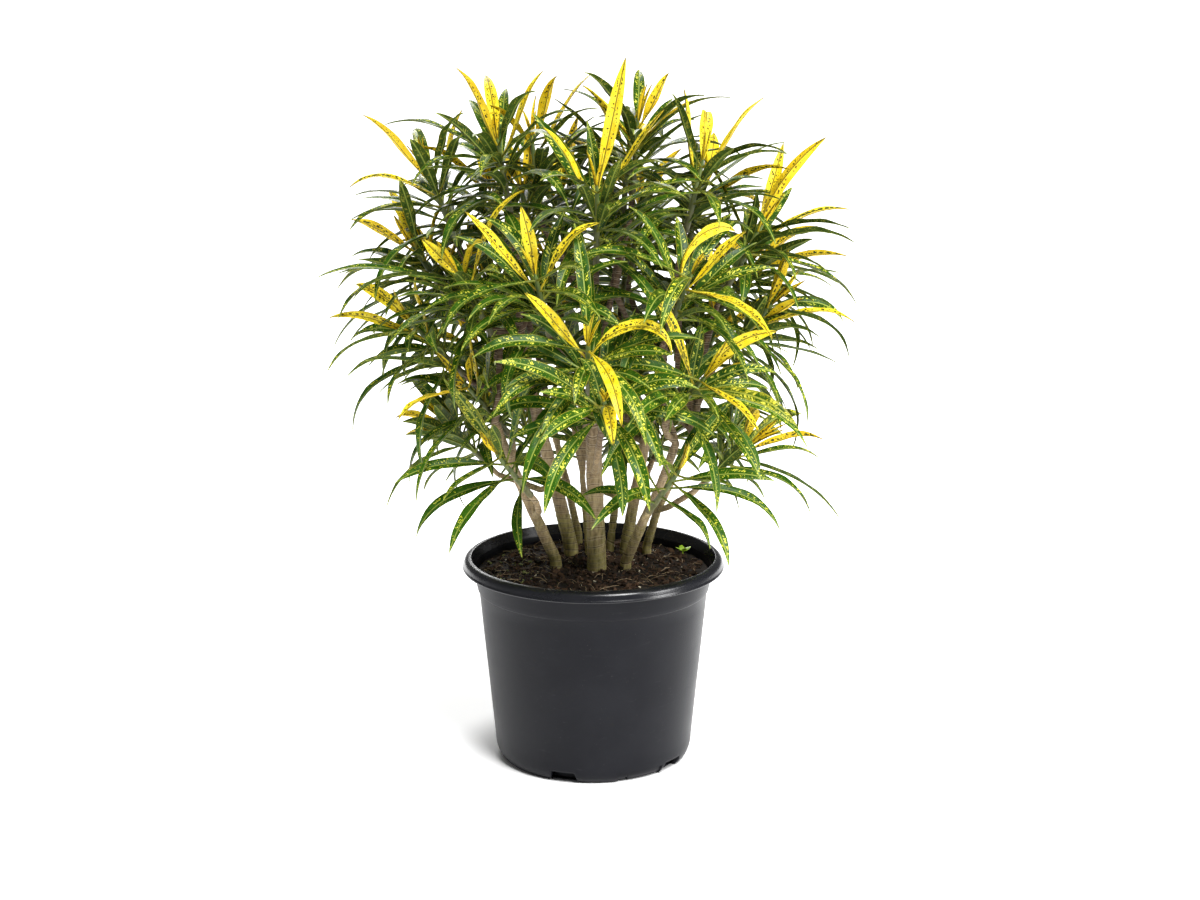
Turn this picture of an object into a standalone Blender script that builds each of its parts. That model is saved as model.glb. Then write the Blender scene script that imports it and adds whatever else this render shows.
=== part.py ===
"""Potted croton: a bushy plant with narrow speckled leaves in a round nursery pot.

Metres, +Z up. The origin is on the ground under the middle of the pot.
The plant's showing side faces -Y, with +X to its right.

Every piece is one closed body. The plant is nine woody stems, and on each
branch end stands one leafy shoot: a green stem whose leaves grow out of its
own side faces. Leaves are placed one after another, and each is turned,
lifted or shortened until it clears what is already there.
"""
import math
import random

import bpy
from mathutils import Matrix, Vector
from mathutils.bvhtree import BVHTree

# ---- Driving dimensions ---------------------------------------------------
SEAT_GAP = 0.0003            # clearance between pieces that rest on each other

POT_HEIGHT = 0.166
RIM_RADIUS = 0.105           # outside of the lip
LIP_DEPTH = 0.0085           # height of the lip's outer face
BAND_HEIGHT = 0.0175         # plain band between the lip and the step
STEP_RADIUS = 0.0918         # wall just under the step
KNEE_RADIUS = 0.0797         # wall where the lower corner starts
KNEE_HEIGHT = 0.017
FOOT_RADIUS = 0.0715         # outside of the skirt on the ground
WALL = 0.0016
FLOOR_HEIGHT = 0.0090        # underside of the raised floor
POT_SIDES = 36

NOTCH_COUNT = 5
NOTCH_START = -18.0          # degrees from the front, first notch
NOTCH_WIDTH = 0.021
NOTCH_HEIGHT = 0.0080
DRAIN_COUNT = 6
DRAIN_RADIUS = 0.0055
DRAIN_CIRCLE = 0.050
DRAIN_TURN = 0.57            # of one step, from the +X side

SOIL_EDGE = 0.1525           # height of the soil at the wall
SOIL_MIDDLE = 0.1555
SOIL_LUMPS = 0.0016
SOCKET_BOTTOM = 0.1400       # stems stand this deep in the soil

CROWN_REACH_X = 0.212        # no leaf tip goes past these
CROWN_REACH_Y = 0.206
CROWN_TOP = 0.570
LEAF_FLOOR = 0.204           # no leaf hangs lower than this
WINDOW_HALF = 0.052          # in front of the stems the leaves stay higher,
WINDOW_TOP = 0.236           # so that the stems show

LEAF_LENGTH = 0.100          # a full grown leaf
LEAF_WIDTH = 0.0135
LEAF_KEEL = 0.0009           # midrib depth under the blade
LEAF_STAND_OFF = 0.0045      # how far a leaf swings out before it follows its heading
LEAF_SPARE = 0.0008          # clearance kept round every leaf
LEAF_FACE_BIAS = 0.3         # how strongly a leaf's upper side keeps facing up the stem
MOST_TWISTED = 0.5           # least dot product between its two stations' side lines
STALK_SHARE = 0.18           # of the run to the first station: its narrow stalk
SHOOT_SIDES = 5              # leaves stand in a 2/5 spiral on five faces
LEAVES_PER_BAND = 3
LEAF_BAND = 0.0032           # stem length that carries three leaves
INTERNODE = 0.0065           # bare stem between two bands of leaves
SHOOT_RADIUS = 0.0026
BARE_STEM = 0.012            # leafless green stem at the foot of a shoot
BRANCH_SIDES = 5
SEEDLING_FOOT = Vector((0.071, 0.040, 0.1503))
SEEDLING_SCALE = 0.30


# ---- Materials -------------------------------------------------------------
def make_material(name, color, roughness):
    material = bpy.data.materials.new(name)
    material.use_nodes = True
    shader = material.node_tree.nodes["Principled BSDF"]
    shader.inputs["Base Color"].default_value = (*color, 1.0)
    shader.inputs["Roughness"].default_value = roughness
    shader.inputs["Metallic"].default_value = 0.0
    return material


# ---- Mesh helpers ----------------------------------------------------------
def add_piece(name, verts, faces, material):
    mesh = bpy.data.meshes.new(name)
    mesh.from_pydata([tuple(v) for v in verts], [], faces)
    mesh.update()
    mesh.materials.append(material)
    piece = bpy.data.objects.new(name, mesh)
    bpy.context.scene.collection.objects.link(piece)
    return piece


def hide_helper(helper):
    helper.hide_render = True
    helper.display_type = "WIRE"


def add_boolean(piece, helper, operation):
    hide_helper(helper)
    modifier = piece.modifiers.new(helper.name, "BOOLEAN")
    modifier.operation = operation
    modifier.object = helper
    modifier.solver = "EXACT"


def turned(profile, sides):
    """Turn a profile of (radius, height) points that starts and ends on the axis."""
    verts = [Vector((0, 0, profile[0][1]))]
    for radius, height in profile[1:-1]:
        for i in range(sides):
            angle = 2 * math.pi * i / sides
            verts.append(Vector((radius * math.cos(angle), radius * math.sin(angle), height)))
    verts.append(Vector((0, 0, profile[-1][1])))
    faces = []
    rings = len(profile) - 2
    for i in range(sides):
        j = (i + 1) % sides
        faces.append((0, 1 + j, 1 + i))
        for ring in range(rings - 1):
            low = 1 + ring * sides
            high = low + sides
            faces.append((low + i, low + j, high + j, high + i))
        top = 1 + (rings - 1) * sides
        faces.append((top + i, top + j, len(verts) - 1))
    return verts, faces


def frames_along(points):
    """Tangent and two side directions at each point, turned as little as possible."""
    frames = []
    side = None
    for i, point in enumerate(points):
        before = points[max(i - 1, 0)]
        after = points[min(i + 1, len(points) - 1)]
        tangent = (after - before).normalized()
        if side is None:
            guide = Vector((1, 0, 0)) if abs(tangent.x) < 0.8 else Vector((0, 1, 0))
            side = (guide - tangent * guide.dot(tangent)).normalized()
        else:
            side = (side - tangent * side.dot(tangent)).normalized()
        frames.append((tangent, side, tangent.cross(side)))
    return frames


def tube(points, radii, sides):
    """A closed tube along a path, with flat ends."""
    verts = []
    for point, radius, (_, side, other) in zip(points, radii, frames_along(points)):
        for i in range(sides):
            angle = 2 * math.pi * i / sides
            verts.append(point + radius * (math.cos(angle) * side + math.sin(angle) * other))
    faces = [tuple(range(sides - 1, -1, -1))]
    for ring in range(len(points) - 1):
        low = ring * sides
        for i in range(sides):
            j = (i + 1) % sides
            faces.append((low + i, low + j, low + sides + j, low + sides + i))
    last = (len(points) - 1) * sides
    faces.append(tuple(range(last, last + sides)))
    return verts, faces


def bezier(start, middle, end, count):
    points = []
    for i in range(count + 1):
        t = i / count
        points.append((1 - t) ** 2 * start + 2 * t * (1 - t) * middle + t * t * end)
    return points


# ---- What is already there --------------------------------------------------
class Room:
    """The solids placed so far, for asking whether a new one is clear of them."""

    def __init__(self):
        self.solids = []

    def add(self, owner, verts, faces):
        low = Vector([min(v[axis] for v in verts) for axis in range(3)])
        high = Vector([max(v[axis] for v in verts) for axis in range(3)])
        self.solids.append((owner, low, high, BVHTree.FromPolygons(verts, faces)))

    def is_clear(self, verts, faces, skip=()):
        low = Vector([min(v[axis] for v in verts) for axis in range(3)])
        high = Vector([max(v[axis] for v in verts) for axis in range(3)])
        tree = None
        for owner, other_low, other_high, other in self.solids:
            if owner in skip:
                continue
            if any(low[a] > other_high[a] or high[a] < other_low[a] for a in range(3)):
                continue
            if tree is None:
                tree = BVHTree.FromPolygons(verts, faces)
            if tree.overlap(other):
                return False
        return True


# ---- Pot ---------------------------------------------------------------------
LIP_BOTTOM = POT_HEIGHT - LIP_DEPTH
BAND_TOP_RADIUS = RIM_RADIUS - 0.0088
STEP_HEIGHT = LIP_BOTTOM - BAND_HEIGHT
BAND_LOW_RADIUS = STEP_RADIUS + 0.0010


def outer_radius(height):
    """Outside of the wall, without the lip or the rounded lower corner."""
    if height >= STEP_HEIGHT:
        t = (height - STEP_HEIGHT) / BAND_HEIGHT
        return BAND_LOW_RADIUS + t * (BAND_TOP_RADIUS - BAND_LOW_RADIUS)
    t = (height - KNEE_HEIGHT) / (STEP_HEIGHT - KNEE_HEIGHT)
    return KNEE_RADIUS + t * (STEP_RADIUS - KNEE_RADIUS)


def corner_radius(height):
    """Outside of the rounded lower corner, an arc from the skirt to the wall."""
    t = 1 - height / KNEE_HEIGHT
    return FOOT_RADIUS + (KNEE_RADIUS - FOOT_RADIUS) * math.sqrt(max(0.0, 1 - t * t))


def pot_profile():
    floor_top = FLOOR_HEIGHT + WALL
    profile = [(0, FLOOR_HEIGHT), (0.040, FLOOR_HEIGHT), (corner_radius(FLOOR_HEIGHT) - WALL, FLOOR_HEIGHT)]
    profile.append((FOOT_RADIUS - 2 * WALL, 0))
    for height in (0, 0.0012, 0.004, 0.009):
        profile.append((corner_radius(height), height))
    profile.append((KNEE_RADIUS, KNEE_HEIGHT))
    profile.append((STEP_RADIUS, STEP_HEIGHT - 0.0008))
    profile.append((BAND_LOW_RADIUS, STEP_HEIGHT))
    profile.append((BAND_TOP_RADIUS, LIP_BOTTOM + 0.0010))
    profile += [(RIM_RADIUS - 0.0006, LIP_BOTTOM), (RIM_RADIUS, LIP_BOTTOM + 0.0010)]
    profile += [(RIM_RADIUS, POT_HEIGHT - 0.0045), (RIM_RADIUS - 0.0016, POT_HEIGHT - 0.0012)]
    profile += [(RIM_RADIUS - 0.0042, POT_HEIGHT), (RIM_RADIUS - 0.0066, POT_HEIGHT)]
    profile += [(BAND_TOP_RADIUS - WALL, LIP_BOTTOM), (BAND_LOW_RADIUS - WALL, STEP_HEIGHT)]
    profile += [(STEP_RADIUS - WALL, STEP_HEIGHT - 0.0020), (outer_radius(0.020) - WALL, 0.020)]
    profile += [(corner_radius(0.014) - WALL - 0.001, floor_top), (0.040, floor_top), (0, floor_top)]
    return profile


def notch_cutters():
    """Arched notches in the skirt: blocks that narrow towards the top."""
    verts, faces = [], []
    for n in range(NOTCH_COUNT):
        angle = math.radians(NOTCH_START + 360.0 * n / NOTCH_COUNT - 90.0)
        turn = Matrix.Rotation(angle, 3, "Z")
        start = len(verts)
        for x in (FOOT_RADIUS - 0.012, KNEE_RADIUS + 0.012):
            for y, z in ((-0.5, -0.002), (0.5, -0.002), (0.36, NOTCH_HEIGHT), (-0.36, NOTCH_HEIGHT)):
                verts.append(turn @ Vector((x, y * NOTCH_WIDTH, z)))
        a = start
        faces += [(a, a + 3, a + 2, a + 1), (a + 4, a + 5, a + 6, a + 7), (a, a + 1, a + 5, a + 4)]
        faces += [(a + 1, a + 2, a + 6, a + 5), (a + 2, a + 3, a + 7, a + 6), (a + 3, a, a + 4, a + 7)]
    return verts, faces


def make_pot(plastic):
    pot = add_piece("nursery_pot", *turned(pot_profile(), POT_SIDES), plastic)
    add_boolean(pot, add_piece("cut_notches", *notch_cutters(), plastic), "DIFFERENCE")
    for n in range(DRAIN_COUNT):
        angle = 2 * math.pi * (n + DRAIN_TURN) / DRAIN_COUNT
        centre = Vector((DRAIN_CIRCLE * math.cos(angle), DRAIN_CIRCLE * math.sin(angle), 0))
        ends = [centre + Vector((0, 0, 0.004)), centre + Vector((0, 0, 0.020))]
        hole = add_piece(f"cut_drain_{n}", *tube(ends, [DRAIN_RADIUS] * 2, 12), plastic)
        add_boolean(pot, hole, "DIFFERENCE")
    return pot


# ---- Soil ----------------------------------------------------------------------
def soil_profile():
    bottom = FLOOR_HEIGHT + WALL + SEAT_GAP
    side_gap = WALL + 1.6 * SEAT_GAP
    profile = [(0, bottom), (0.045, bottom), (corner_radius(0.014) - side_gap - 0.0015, bottom)]
    profile += [(outer_radius(0.0205) - side_gap, 0.0205)]
    profile += [(STEP_RADIUS - side_gap, STEP_HEIGHT - 0.0022)]
    profile.append((outer_radius(SOIL_EDGE - 0.002) - side_gap, SOIL_EDGE - 0.002))
    for radius in (0.086, 0.066, 0.043, 0.020):
        rise = SOIL_EDGE + (SOIL_MIDDLE - SOIL_EDGE) * (1 - (radius / 0.09) ** 2)
        profile.append((radius, rise))
    profile.append((0, SOIL_MIDDLE))
    return profile


def make_soil(soil_material, stems):
    verts, faces = turned(soil_profile(), POT_SIDES)
    lumps = random.Random(11)
    for v in verts:
        if v.z > SOIL_EDGE - 0.001:
            v.z += lumps.uniform(-SOIL_LUMPS, SOIL_LUMPS)
    soil = add_piece("potting_soil", verts, faces, soil_material)
    feet = {name: (stem["path"][0], stem["radii"][0]) for name, stem in stems.items()}
    feet["seedling"] = (SEEDLING_FOOT, SHOOT_RADIUS * SEEDLING_SCALE)
    for name, (foot, radius) in feet.items():
        width = (radius + 1.4 * SEAT_GAP) / math.cos(math.pi / 12)
        ends = [foot - Vector((0, 0, SEAT_GAP)), foot + Vector((0, 0, 0.020))]
        socket = add_piece(f"cut_socket_{name}", *tube(ends, [width] * 2, 12), soil_material)
        add_boolean(soil, socket, "DIFFERENCE")
    return soil


# ---- Woody stems -----------------------------------------------------------------
# Radius at the soil and at the top, then the path in centimetres from just over
# the soil. Each stem stands upright in the soil under its first point.
STEM_PATHS = {
    "a": (0.52, 0.36, [(-3.0, -0.1, 16.2), (-4.6, -1.6, 20.3), (-6.4, -3.4, 25.0), (-7.6, -4.6, 28.6)]),
    "b": (0.66, 0.40, [(-1.8, 3.7, 16.2), (-3.1, 2.2, 22.0), (-4.6, 1.0, 28.4), (-5.8, 0.8, 34.5)]),
    "c": (0.36, 0.26, [(-1.2, 7.3, 16.2), (-2.2, 7.8, 20.5), (-3.6, 8.2, 26.5), (-4.6, 8.6, 31.5)]),
    "i": (0.30, 0.24, [(-0.4, 3.6, 16.2), (-0.9, 4.8, 22.0), (-0.4, 6.2, 29.0), (0.2, 7.0, 35.0)]),
    "d": (0.88, 0.44, [(0.3, -0.6, 16.2), (0.1, -1.2, 23.6), (0.0, -2.6, 29.5), (0.0, -3.6, 34.0)]),
    "e": (0.36, 0.26, [(1.4, 4.9, 16.2), (1.9, 5.3, 20.0), (2.7, 6.0, 26.0), (3.5, 6.8, 33.0)]),
    "f": (0.56, 0.38, [(2.7, 4.4, 16.2), (3.3, 3.8, 20.0), (4.2, 3.6, 25.0), (5.6, 3.4, 32.0)]),
    "g": (0.50, 0.34, [(2.6, -0.5, 16.2), (3.9, -1.9, 19.8), (5.1, -3.3, 22.8), (6.4, -4.9, 27.0)]),
    "h": (0.40, 0.30, [(4.4, 4.2, 16.2), (5.2, 3.1, 19.4), (6.6, 2.3, 22.8), (8.0, 1.8, 26.2)]),
}


def stem_path(points_cm):
    path = [Vector(p) / 100 for p in points_cm]
    foot = Vector((path[0].x, path[0].y, SOCKET_BOTTOM + SEAT_GAP))
    return [foot] + path


def segment_gap(a0, a1, b0, b1):
    """Closest distance between two straight runs, sampled along both."""
    best = 1.0
    for i in range(9):
        p = a0.lerp(a1, i / 8)
        d = b1 - b0
        t = max(0.0, min(1.0, (p - b0).dot(d) / d.length_squared))
        best = min(best, (p - (b0 + d * t)).length)
    return best


def runs_clear(points, radius, others, spare):
    for a0, a1 in zip(points, points[1:]):
        for b0, b1, other_radius in others:
            if segment_gap(a0, a1, b0, b1) < radius + other_radius + spare:
                return False
    return True


def runs_of(points, radii):
    return [(p, q, max(r, s)) for p, q, r, s in zip(points, points[1:], radii, radii[1:])]


# ---- Shoots -----------------------------------------------------------------------
# One line for each leafy shoot: its stem, the place of its growing tip in
# centimetres, how many leaves it carries, and the young leaves that show most.
# A young leaf is (heading, pitch, bend, length mm): heading 0 points right, 90
# back, 180 left and 270 to the front; pitch is its rise where it leaves the
# stem, and bend is how far it has turned down at its tip, all in degrees.
SHOOTS = {
    "left_shoulder": ("b", (-12.6, 2.0, 46.4), 14,
                      [(0, 82, 6, 65), (180, 60, 25, 74), (185, 36, 62, 68), (200, 14, 60, 76)]),
    "left_top": ("b", (-7.3, -1.0, 49.7), 15,
                 [(190, 72, 8, 66), (350, 74, 8, 70), (180, 58, 32, 66), (0, 54, 26, 64)]),
    "front_top": ("d", (0.3, -6.0, 46.7), 16,
                  [(335, 80, 8, 102), (205, 66, 15, 70), (350, 62, 10, 84), (175, 64, 16, 90),
                   (120, 82, 5, 90)]),
    "middle_top": ("e", (3.5, 4.0, 50.5), 14,
                   [(20, 80, 5, 55), (0, 50, 25, 52), (175, 56, 15, 56)]),
    "right_top": ("f", (8.4, 0.0, 47.9), 14,
                  [(120, 84, 5, 68), (0, 62, 6, 78), (215, 72, 5, 62), (10, 45, 32, 76)]),
    "right_shoulder": ("h", (13.0, 1.0, 42.7), 14,
                       [(185, 78, 6, 88), (350, 66, 30, 92), (30, 74, 8, 72), (300, 70, 8, 56),
                        (0, 40, 42, 78)]),
    "right_side": ("h", (13.8, 0.0, 36.8), 14,
                   [(340, 70, 6, 50), (330, 45, 12, 44), (0, 26, 40, 84), (350, 4, 60, 78),
                    (20, 10, 50, 74)]),
    "right_front": ("g", (8.1, -11.0, 33.3), 14,
                    [(340, 50, 42, 68), (300, 75, 6, 52), (190, 30, 62, 88), (330, 4, 40, 82)]),
    "front_high_right": ("g", (7.2, -9.0, 40.7), 15,
                         [(210, 84, 125, 84), (345, 56, 15, 60), (190, 34, 50, 88), (0, 34, 32, 70),
                          (250, 20, 95, 84)]),
    "front_middle": ("d", (-0.4, -14.0, 36.2), 15,
                     [(195, 60, 24, 64), (345, 58, 135, 76), (190, 22, 50, 84), (215, 6, 50, 84),
                      (180, 35, 36, 74), (0, 30, 40, 80)]),
    "front_high_left": ("d", (-4.2, -11.0, 40.9), 15,
                        [(188, 56, 12, 76), (240, 72, 6, 56), (350, 75, 55, 66), (190, 30, 40, 72),
                         (200, 2, 60, 80)]),
    "left_high": ("a", (-10.0, -6.0, 40.1), 14,
                  [(205, 62, 10, 50), (180, 25, 42, 112), (190, 20, 55, 84)]),
    "left_side": ("b", (-14.0, 2.0, 41.0), 13,
                  [(180, 38, 14, 54), (30, 82, 5, 44)]),
    "left_low": ("a", (-13.6, -4.0, 35.9), 14,
                 [(190, 65, 6, 50), (182, 32, 36, 74), (186, 2, 42, 70)]),
    "left_inner": ("a", (-9.7, -5.0, 31.6), 13,
                   [(200, 78, 5, 50), (170, 30, 40, 60)]),
    "left_bottom": ("c", (-11.6, 1.5, 27.0), 11,
                    [(200, 40, 40, 46), (160, 20, 40, 44)]),
    "right_bottom": ("h", (12.0, -2.0, 26.0), 12,
                     [(350, 30, 30, 62), (10, 20, 40, 66)]),
    "front_young": ("d", (0.8, -15.0, 32.4), 11,
                    [(275, 20, 105, 46)]),
    "front_low_left": ("a", (-7.2, -9.0, 27.0), 13, []),
    "front_low_right": ("g", (6.4, -9.5, 25.8), 13, []),
    "upper_inner": ("b", (-5.6, 3.0, 45.5), 13,
                    [(60, 80, 5, 60), (190, 60, 20, 60)]),
}
# Shoots of the far side, in rings: (stems in turn, height, reach from the
# middle, first and last heading in degrees, how many, leaves on each).
FAR_RINGS = {
    "far_top": ("iec", 48.5, 5.5, 60, 150, 2, 14),
    "far_crown": ("hfec", 44.0, 10.4, 32, 142, 4, 14),
    "far_shoulder": ("hfeicb", 38.6, 13.6, 22, 160, 6, 14),
    "far_waist": ("hfic", 32.0, 12.8, 38, 138, 4, 13),
    "far_skirt": ("fec", 26.0, 9.6, 45, 130, 3, 12),
}


def ring_heights(bands):
    """Where a shoot's stem has its edge rings, up from its foot."""
    heights = [0.0, BARE_STEM]
    for _ in range(bands):
        heights += [heights[-1] + LEAF_BAND, heights[-1] + LEAF_BAND + INTERNODE]
    return heights[:-1]


def all_shoots():
    shoots = {}
    for name, (stem, tip, count, young) in SHOOTS.items():
        shoots[name] = {"stem": stem, "tip": Vector(tip) / 100, "count": count, "young": young}
    for ring, (stems, height, reach, first, last, amount, count) in FAR_RINGS.items():
        for n in range(amount):
            heading = math.radians(first + (last - first) * n / (amount - 1))
            wave = 1.2 * math.cos(2.4 * n + height)
            tip = Vector((reach * math.cos(heading), reach * math.sin(heading), height + wave)) / 100
            stem = stems[n % len(stems)]
            shoots[f"{ring}_{n + 1}"] = {"stem": stem, "tip": tip, "count": count, "young": []}
    for name, shoot in shoots.items():
        tip = shoot["tip"]
        reach = math.hypot(tip.x, tip.y)
        low = max(0.30, min(1.0, (0.60 - tip.z) / 0.30))
        lean = math.radians(58.0 * reach / 0.15 * low)
        outward = Vector((tip.x, tip.y, 0)).normalized()
        shoot["axis"] = (outward * math.sin(lean) + Vector((0, 0, math.cos(lean)))).normalized()
        bands = -(-shoot["count"] // LEAVES_PER_BAND)
        shoot["bands"] = bands
        shoot["base"] = tip - shoot["axis"] * ring_heights(bands)[-1]
    return shoots


def route_branch(start, end, axis, radius, others):
    """A branch that bows from the stem into the shoot's own direction, clear of others."""
    span = (end - start).length
    wood_end = end - axis * SEAT_GAP
    side = axis.cross(Vector((0, 0, 1)))
    side = side.normalized() if side.length > 0.05 else Vector((1, 0, 0))
    lift = side.cross(axis)
    for reach in (0.0, 0.010, 0.018, 0.026, 0.036, 0.048):
        for turn in range(8 if reach else 1):
            angle = turn * math.pi / 4
            middle = wood_end - axis * (0.45 * span)
            middle += reach * (math.cos(angle) * side + math.sin(angle) * lift)
            points = bezier(start, middle, wood_end, 3)
            points[-2] = wood_end - axis * min(0.012, 0.2 * span)
            if runs_clear(points, radius, others, 0.0012):
                return points
    return None


def grow_wood(shoots):
    """Work out every stem's path and its branches before any solid is made."""
    stems = {}
    for name, (foot, top, points_cm) in STEM_PATHS.items():
        path = stem_path(points_cm)
        radii = [(foot + (top - foot) * i / (len(path) - 1)) / 100 for i in range(len(path))]
        stems[name] = {"path": path, "radii": radii, "branches": []}
    runs = {name: runs_of(stem["path"], stem["radii"]) for name, stem in stems.items()}
    order = sorted(shoots, key=lambda n: shoots[n]["base"].z)
    for name in order:
        shoot = shoots[name]
        green = [shoot["base"], shoot["tip"]]
        runs[f"green_{name}"] = runs_of(green, [SHOOT_RADIUS, SHOOT_RADIUS])
    for name in order:
        shoot = shoots[name]
        stem = stems[shoot["stem"]]
        others = [run for key, some in runs.items() for run in some
                  if key != shoot["stem"] and key != f"green_{name}"]
        choices = range(len(stem["path"]) - 1, 1, -1)
        choices = [i for i in choices if stem["path"][i].z < shoot["base"].z - 0.012] or [2]
        for i in choices:
            points = route_branch(stem["path"][i], shoot["base"], shoot["axis"], 0.0024, others)
            if points:
                break
        if not points:
            print("no clear way for", name)
            continue
        radii = [min(0.0034, stem["radii"][i] * 0.8), 0.0030, 0.0026, 0.0024]
        stem["branches"].append((name, points, radii))
        runs[f"wood_{name}"] = runs_of(points[1:], radii[1:])
    return stems


def make_stem(name, stem, bark):
    sides = 8 if stem["radii"][0] > 0.005 else 6
    piece = add_piece(f"woody_stem_{name}", *tube(stem["path"], stem["radii"], sides), bark)
    for shoot_name, points, radii in stem["branches"]:
        branch = add_piece(f"branch_{shoot_name}", *tube(points, radii, BRANCH_SIDES), bark)
        add_boolean(piece, branch, "UNION")
    return piece


# ---- Leaves -------------------------------------------------------------------------
def leaf_line(root, normal, direction, bend, length, stand_off=LEAF_STAND_OFF):
    """Root, two stations and tip of a leaf that leaves its stem sideways, then turns down."""
    down = Vector((0, 0, -1))
    turn_axis = direction.cross(down)
    if turn_axis.length < 1e-4:
        turn_axis = Vector((1, 0, 0))
    turn_axis.normalize()
    steps = 20
    point, heading = root.copy(), direction.copy()
    line = [point.copy()]
    for step in range(steps):
        t = (step + 0.5) / steps
        heading = Matrix.Rotation(bend * 1.6 * t ** 0.6 / steps, 3, turn_axis) @ heading
        point = point + heading * (length / steps)
        line.append(point + normal * stand_off * min(1.0, 3 * t))
    return [line[0], line[7], line[14], line[20]]


def leaf_sections(line, face_normal, stem_axis, width, twist):
    """Left edge, right edge and keel at the two stations.

    The upper side faces the stem on an upright leaf and away from it on a hanging one.
    """
    sections = []
    for i, share in ((1, 1.0), (2, 0.80)):
        along = (line[i + 1] - line[i - 1]).normalized()
        outward = LEAF_FACE_BIAS + max(0.0, along.dot(face_normal))
        upper = stem_axis * outward - face_normal * along.dot(stem_axis)
        side = Matrix.Rotation(twist * i / 2, 3, along) @ along.cross(upper).normalized()
        upper = side.cross(along)
        half = 0.5 * width * share
        keel = line[i] - upper * LEAF_KEEL * min(1.0, width / LEAF_WIDTH)
        sections.append((line[i] - side * half, line[i] + side * half, keel, side, upper))
    return sections


def swollen_leaf(line, sections):
    """The leaf beyond its stalk, a little thicker and wider all round."""
    spare, start = LEAF_SPARE, STALK_SHARE
    left, right, keel, side, upper = sections[0]
    rootward = line[0].lerp(line[1], start)
    wide = side * (0.0018 + start * ((right - left).length / 2 - 0.0018) + spare)
    deep = upper * (0.0018 * (1 - start) + spare)
    rings = [[rootward - wide, rootward - deep, rootward + wide, rootward + deep]]
    for middle, (left, right, keel, side, upper) in zip(line[1:3], sections):
        rings.append([left - side * spare, keel - upper * spare])
        rings[-1] += [right + side * spare, middle + upper * spare]
    verts = [v for ring in rings for v in ring] + [line[3] + (line[3] - line[2]).normalized() * spare]
    faces = [(0, 1, 2, 3)]
    for ring in range(2):
        for i in range(4):
            j = (i + 1) % 4
            faces.append((ring * 4 + i, ring * 4 + j, ring * 4 + 4 + j, ring * 4 + 4 + i))
    faces += [(8 + i, 8 + (i + 1) % 4, 12) for i in range(4)]
    return verts, faces


class Shoot:
    """A green stem with faces that leaves grow from, and the leaves placed on it."""

    def __init__(self, name, plan):
        self.name = name
        self.plan = plan
        axis, base = plan["axis"], plan["base"]
        self.axis = axis
        guide = Vector((0, -1, 0)) if abs(axis.y) < 0.9 else Vector((1, 0, 0))
        self.side = (guide - axis * guide.dot(axis)).normalized()
        self.other = axis.cross(self.side)
        scale = plan.get("scale", 1.0)
        self.rings = [base + axis * height * scale for height in ring_heights(plan["bands"])]
        top = len(self.rings) - 1
        self.radii = [SHOOT_RADIUS * scale * (1 - 0.42 * i / top) for i in range(top + 1)]
        self.verts = []
        for centre, radius in zip(self.rings, self.radii):
            self.verts += [centre + radius * self.spoke(i) for i in range(SHOOT_SIDES)]
        self.verts.append(self.rings[-1] + axis * 0.004 * scale)
        self.leaves = {}

    def spoke(self, corner):
        angle = 2 * math.pi * corner / SHOOT_SIDES
        return math.cos(angle) * self.side + math.sin(angle) * self.other

    def face(self, band, i):
        low = band * SHOOT_SIDES
        j = (i + 1) % SHOOT_SIDES
        return (low + i, low + j, low + SHOOT_SIDES + j, low + SHOOT_SIDES + i)

    def face_root(self, band, i):
        corners = [self.verts[k] for k in self.face(band, i)]
        return sum(corners, Vector()) / 4, self.spoke(i + 0.5)

    def stem_faces(self, with_leaves):
        faces = [tuple(range(SHOOT_SIDES - 1, -1, -1))]
        for band in range(len(self.rings) - 1):
            for i in range(SHOOT_SIDES):
                if not (with_leaves and (band, i) in self.leaves):
                    faces.append(self.face(band, i))
        low = (len(self.rings) - 1) * SHOOT_SIDES
        faces += [(low + i, low + (i + 1) % SHOOT_SIDES, len(self.verts) - 1) for i in range(SHOOT_SIDES)]
        return faces

    def free_faces(self):
        """Leaf faces from the tip down, round the stem in a 2/5 spiral."""
        order = []
        for k in range(LEAVES_PER_BAND * self.plan["bands"]):
            band = 2 * (self.plan["bands"] - k // LEAVES_PER_BAND) - 1
            order.append((band, (2 * k) % SHOOT_SIDES))
        return [face for face in order if face not in self.leaves]

    def leaf_solid(self, face, line, sections):
        """A leaf as triangles: its root corners, its two stations and its tip.

        The root corners are numbered 0 to 3, the stations 4 to 9, the tip 10.
        """
        verts = [self.verts[k] for k in self.face(*face)]
        for left, right, keel, _, _ in sections:
            verts += [left, right, keel]
        verts.append(line[3])
        left, right, keel = 4, 5, 6
        if (verts[2] - verts[3]).dot(sections[0][3]) < 0:
            left, right = right, left
        faces = [(2, 3, left), (2, left, right), (1, 2, right), (1, right, keel), (0, 1, keel)]
        faces += [(3, 0, keel), (3, keel, left)]
        ring = (keel, right, left)
        for m in range(3):
            n = (m + 1) % 3
            faces += [(ring[m], ring[n], ring[n] + 3), (ring[m], ring[n] + 3, ring[m] + 3)]
            faces.append((ring[m] + 3, ring[n] + 3, 10))
        return verts, faces

    def solid(self):
        verts = list(self.verts)
        faces = self.stem_faces(with_leaves=True)
        for face, (line, sections) in self.leaves.items():
            leaf_verts, leaf_faces = self.leaf_solid(face, line, sections)
            numbers = list(self.face(*face)) + [len(verts) + k for k in range(7)]
            verts += leaf_verts[4:]
            faces += [tuple(numbers[k] for k in corners) for corners in leaf_faces]
        return verts, faces


def crosses_itself(verts, faces):
    """Whether two faces that share no corner meet."""
    tree = BVHTree.FromPolygons(verts, faces)
    return any(a < b and not set(faces[a]) & set(faces[b]) for a, b in tree.overlap(tree))


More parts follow.
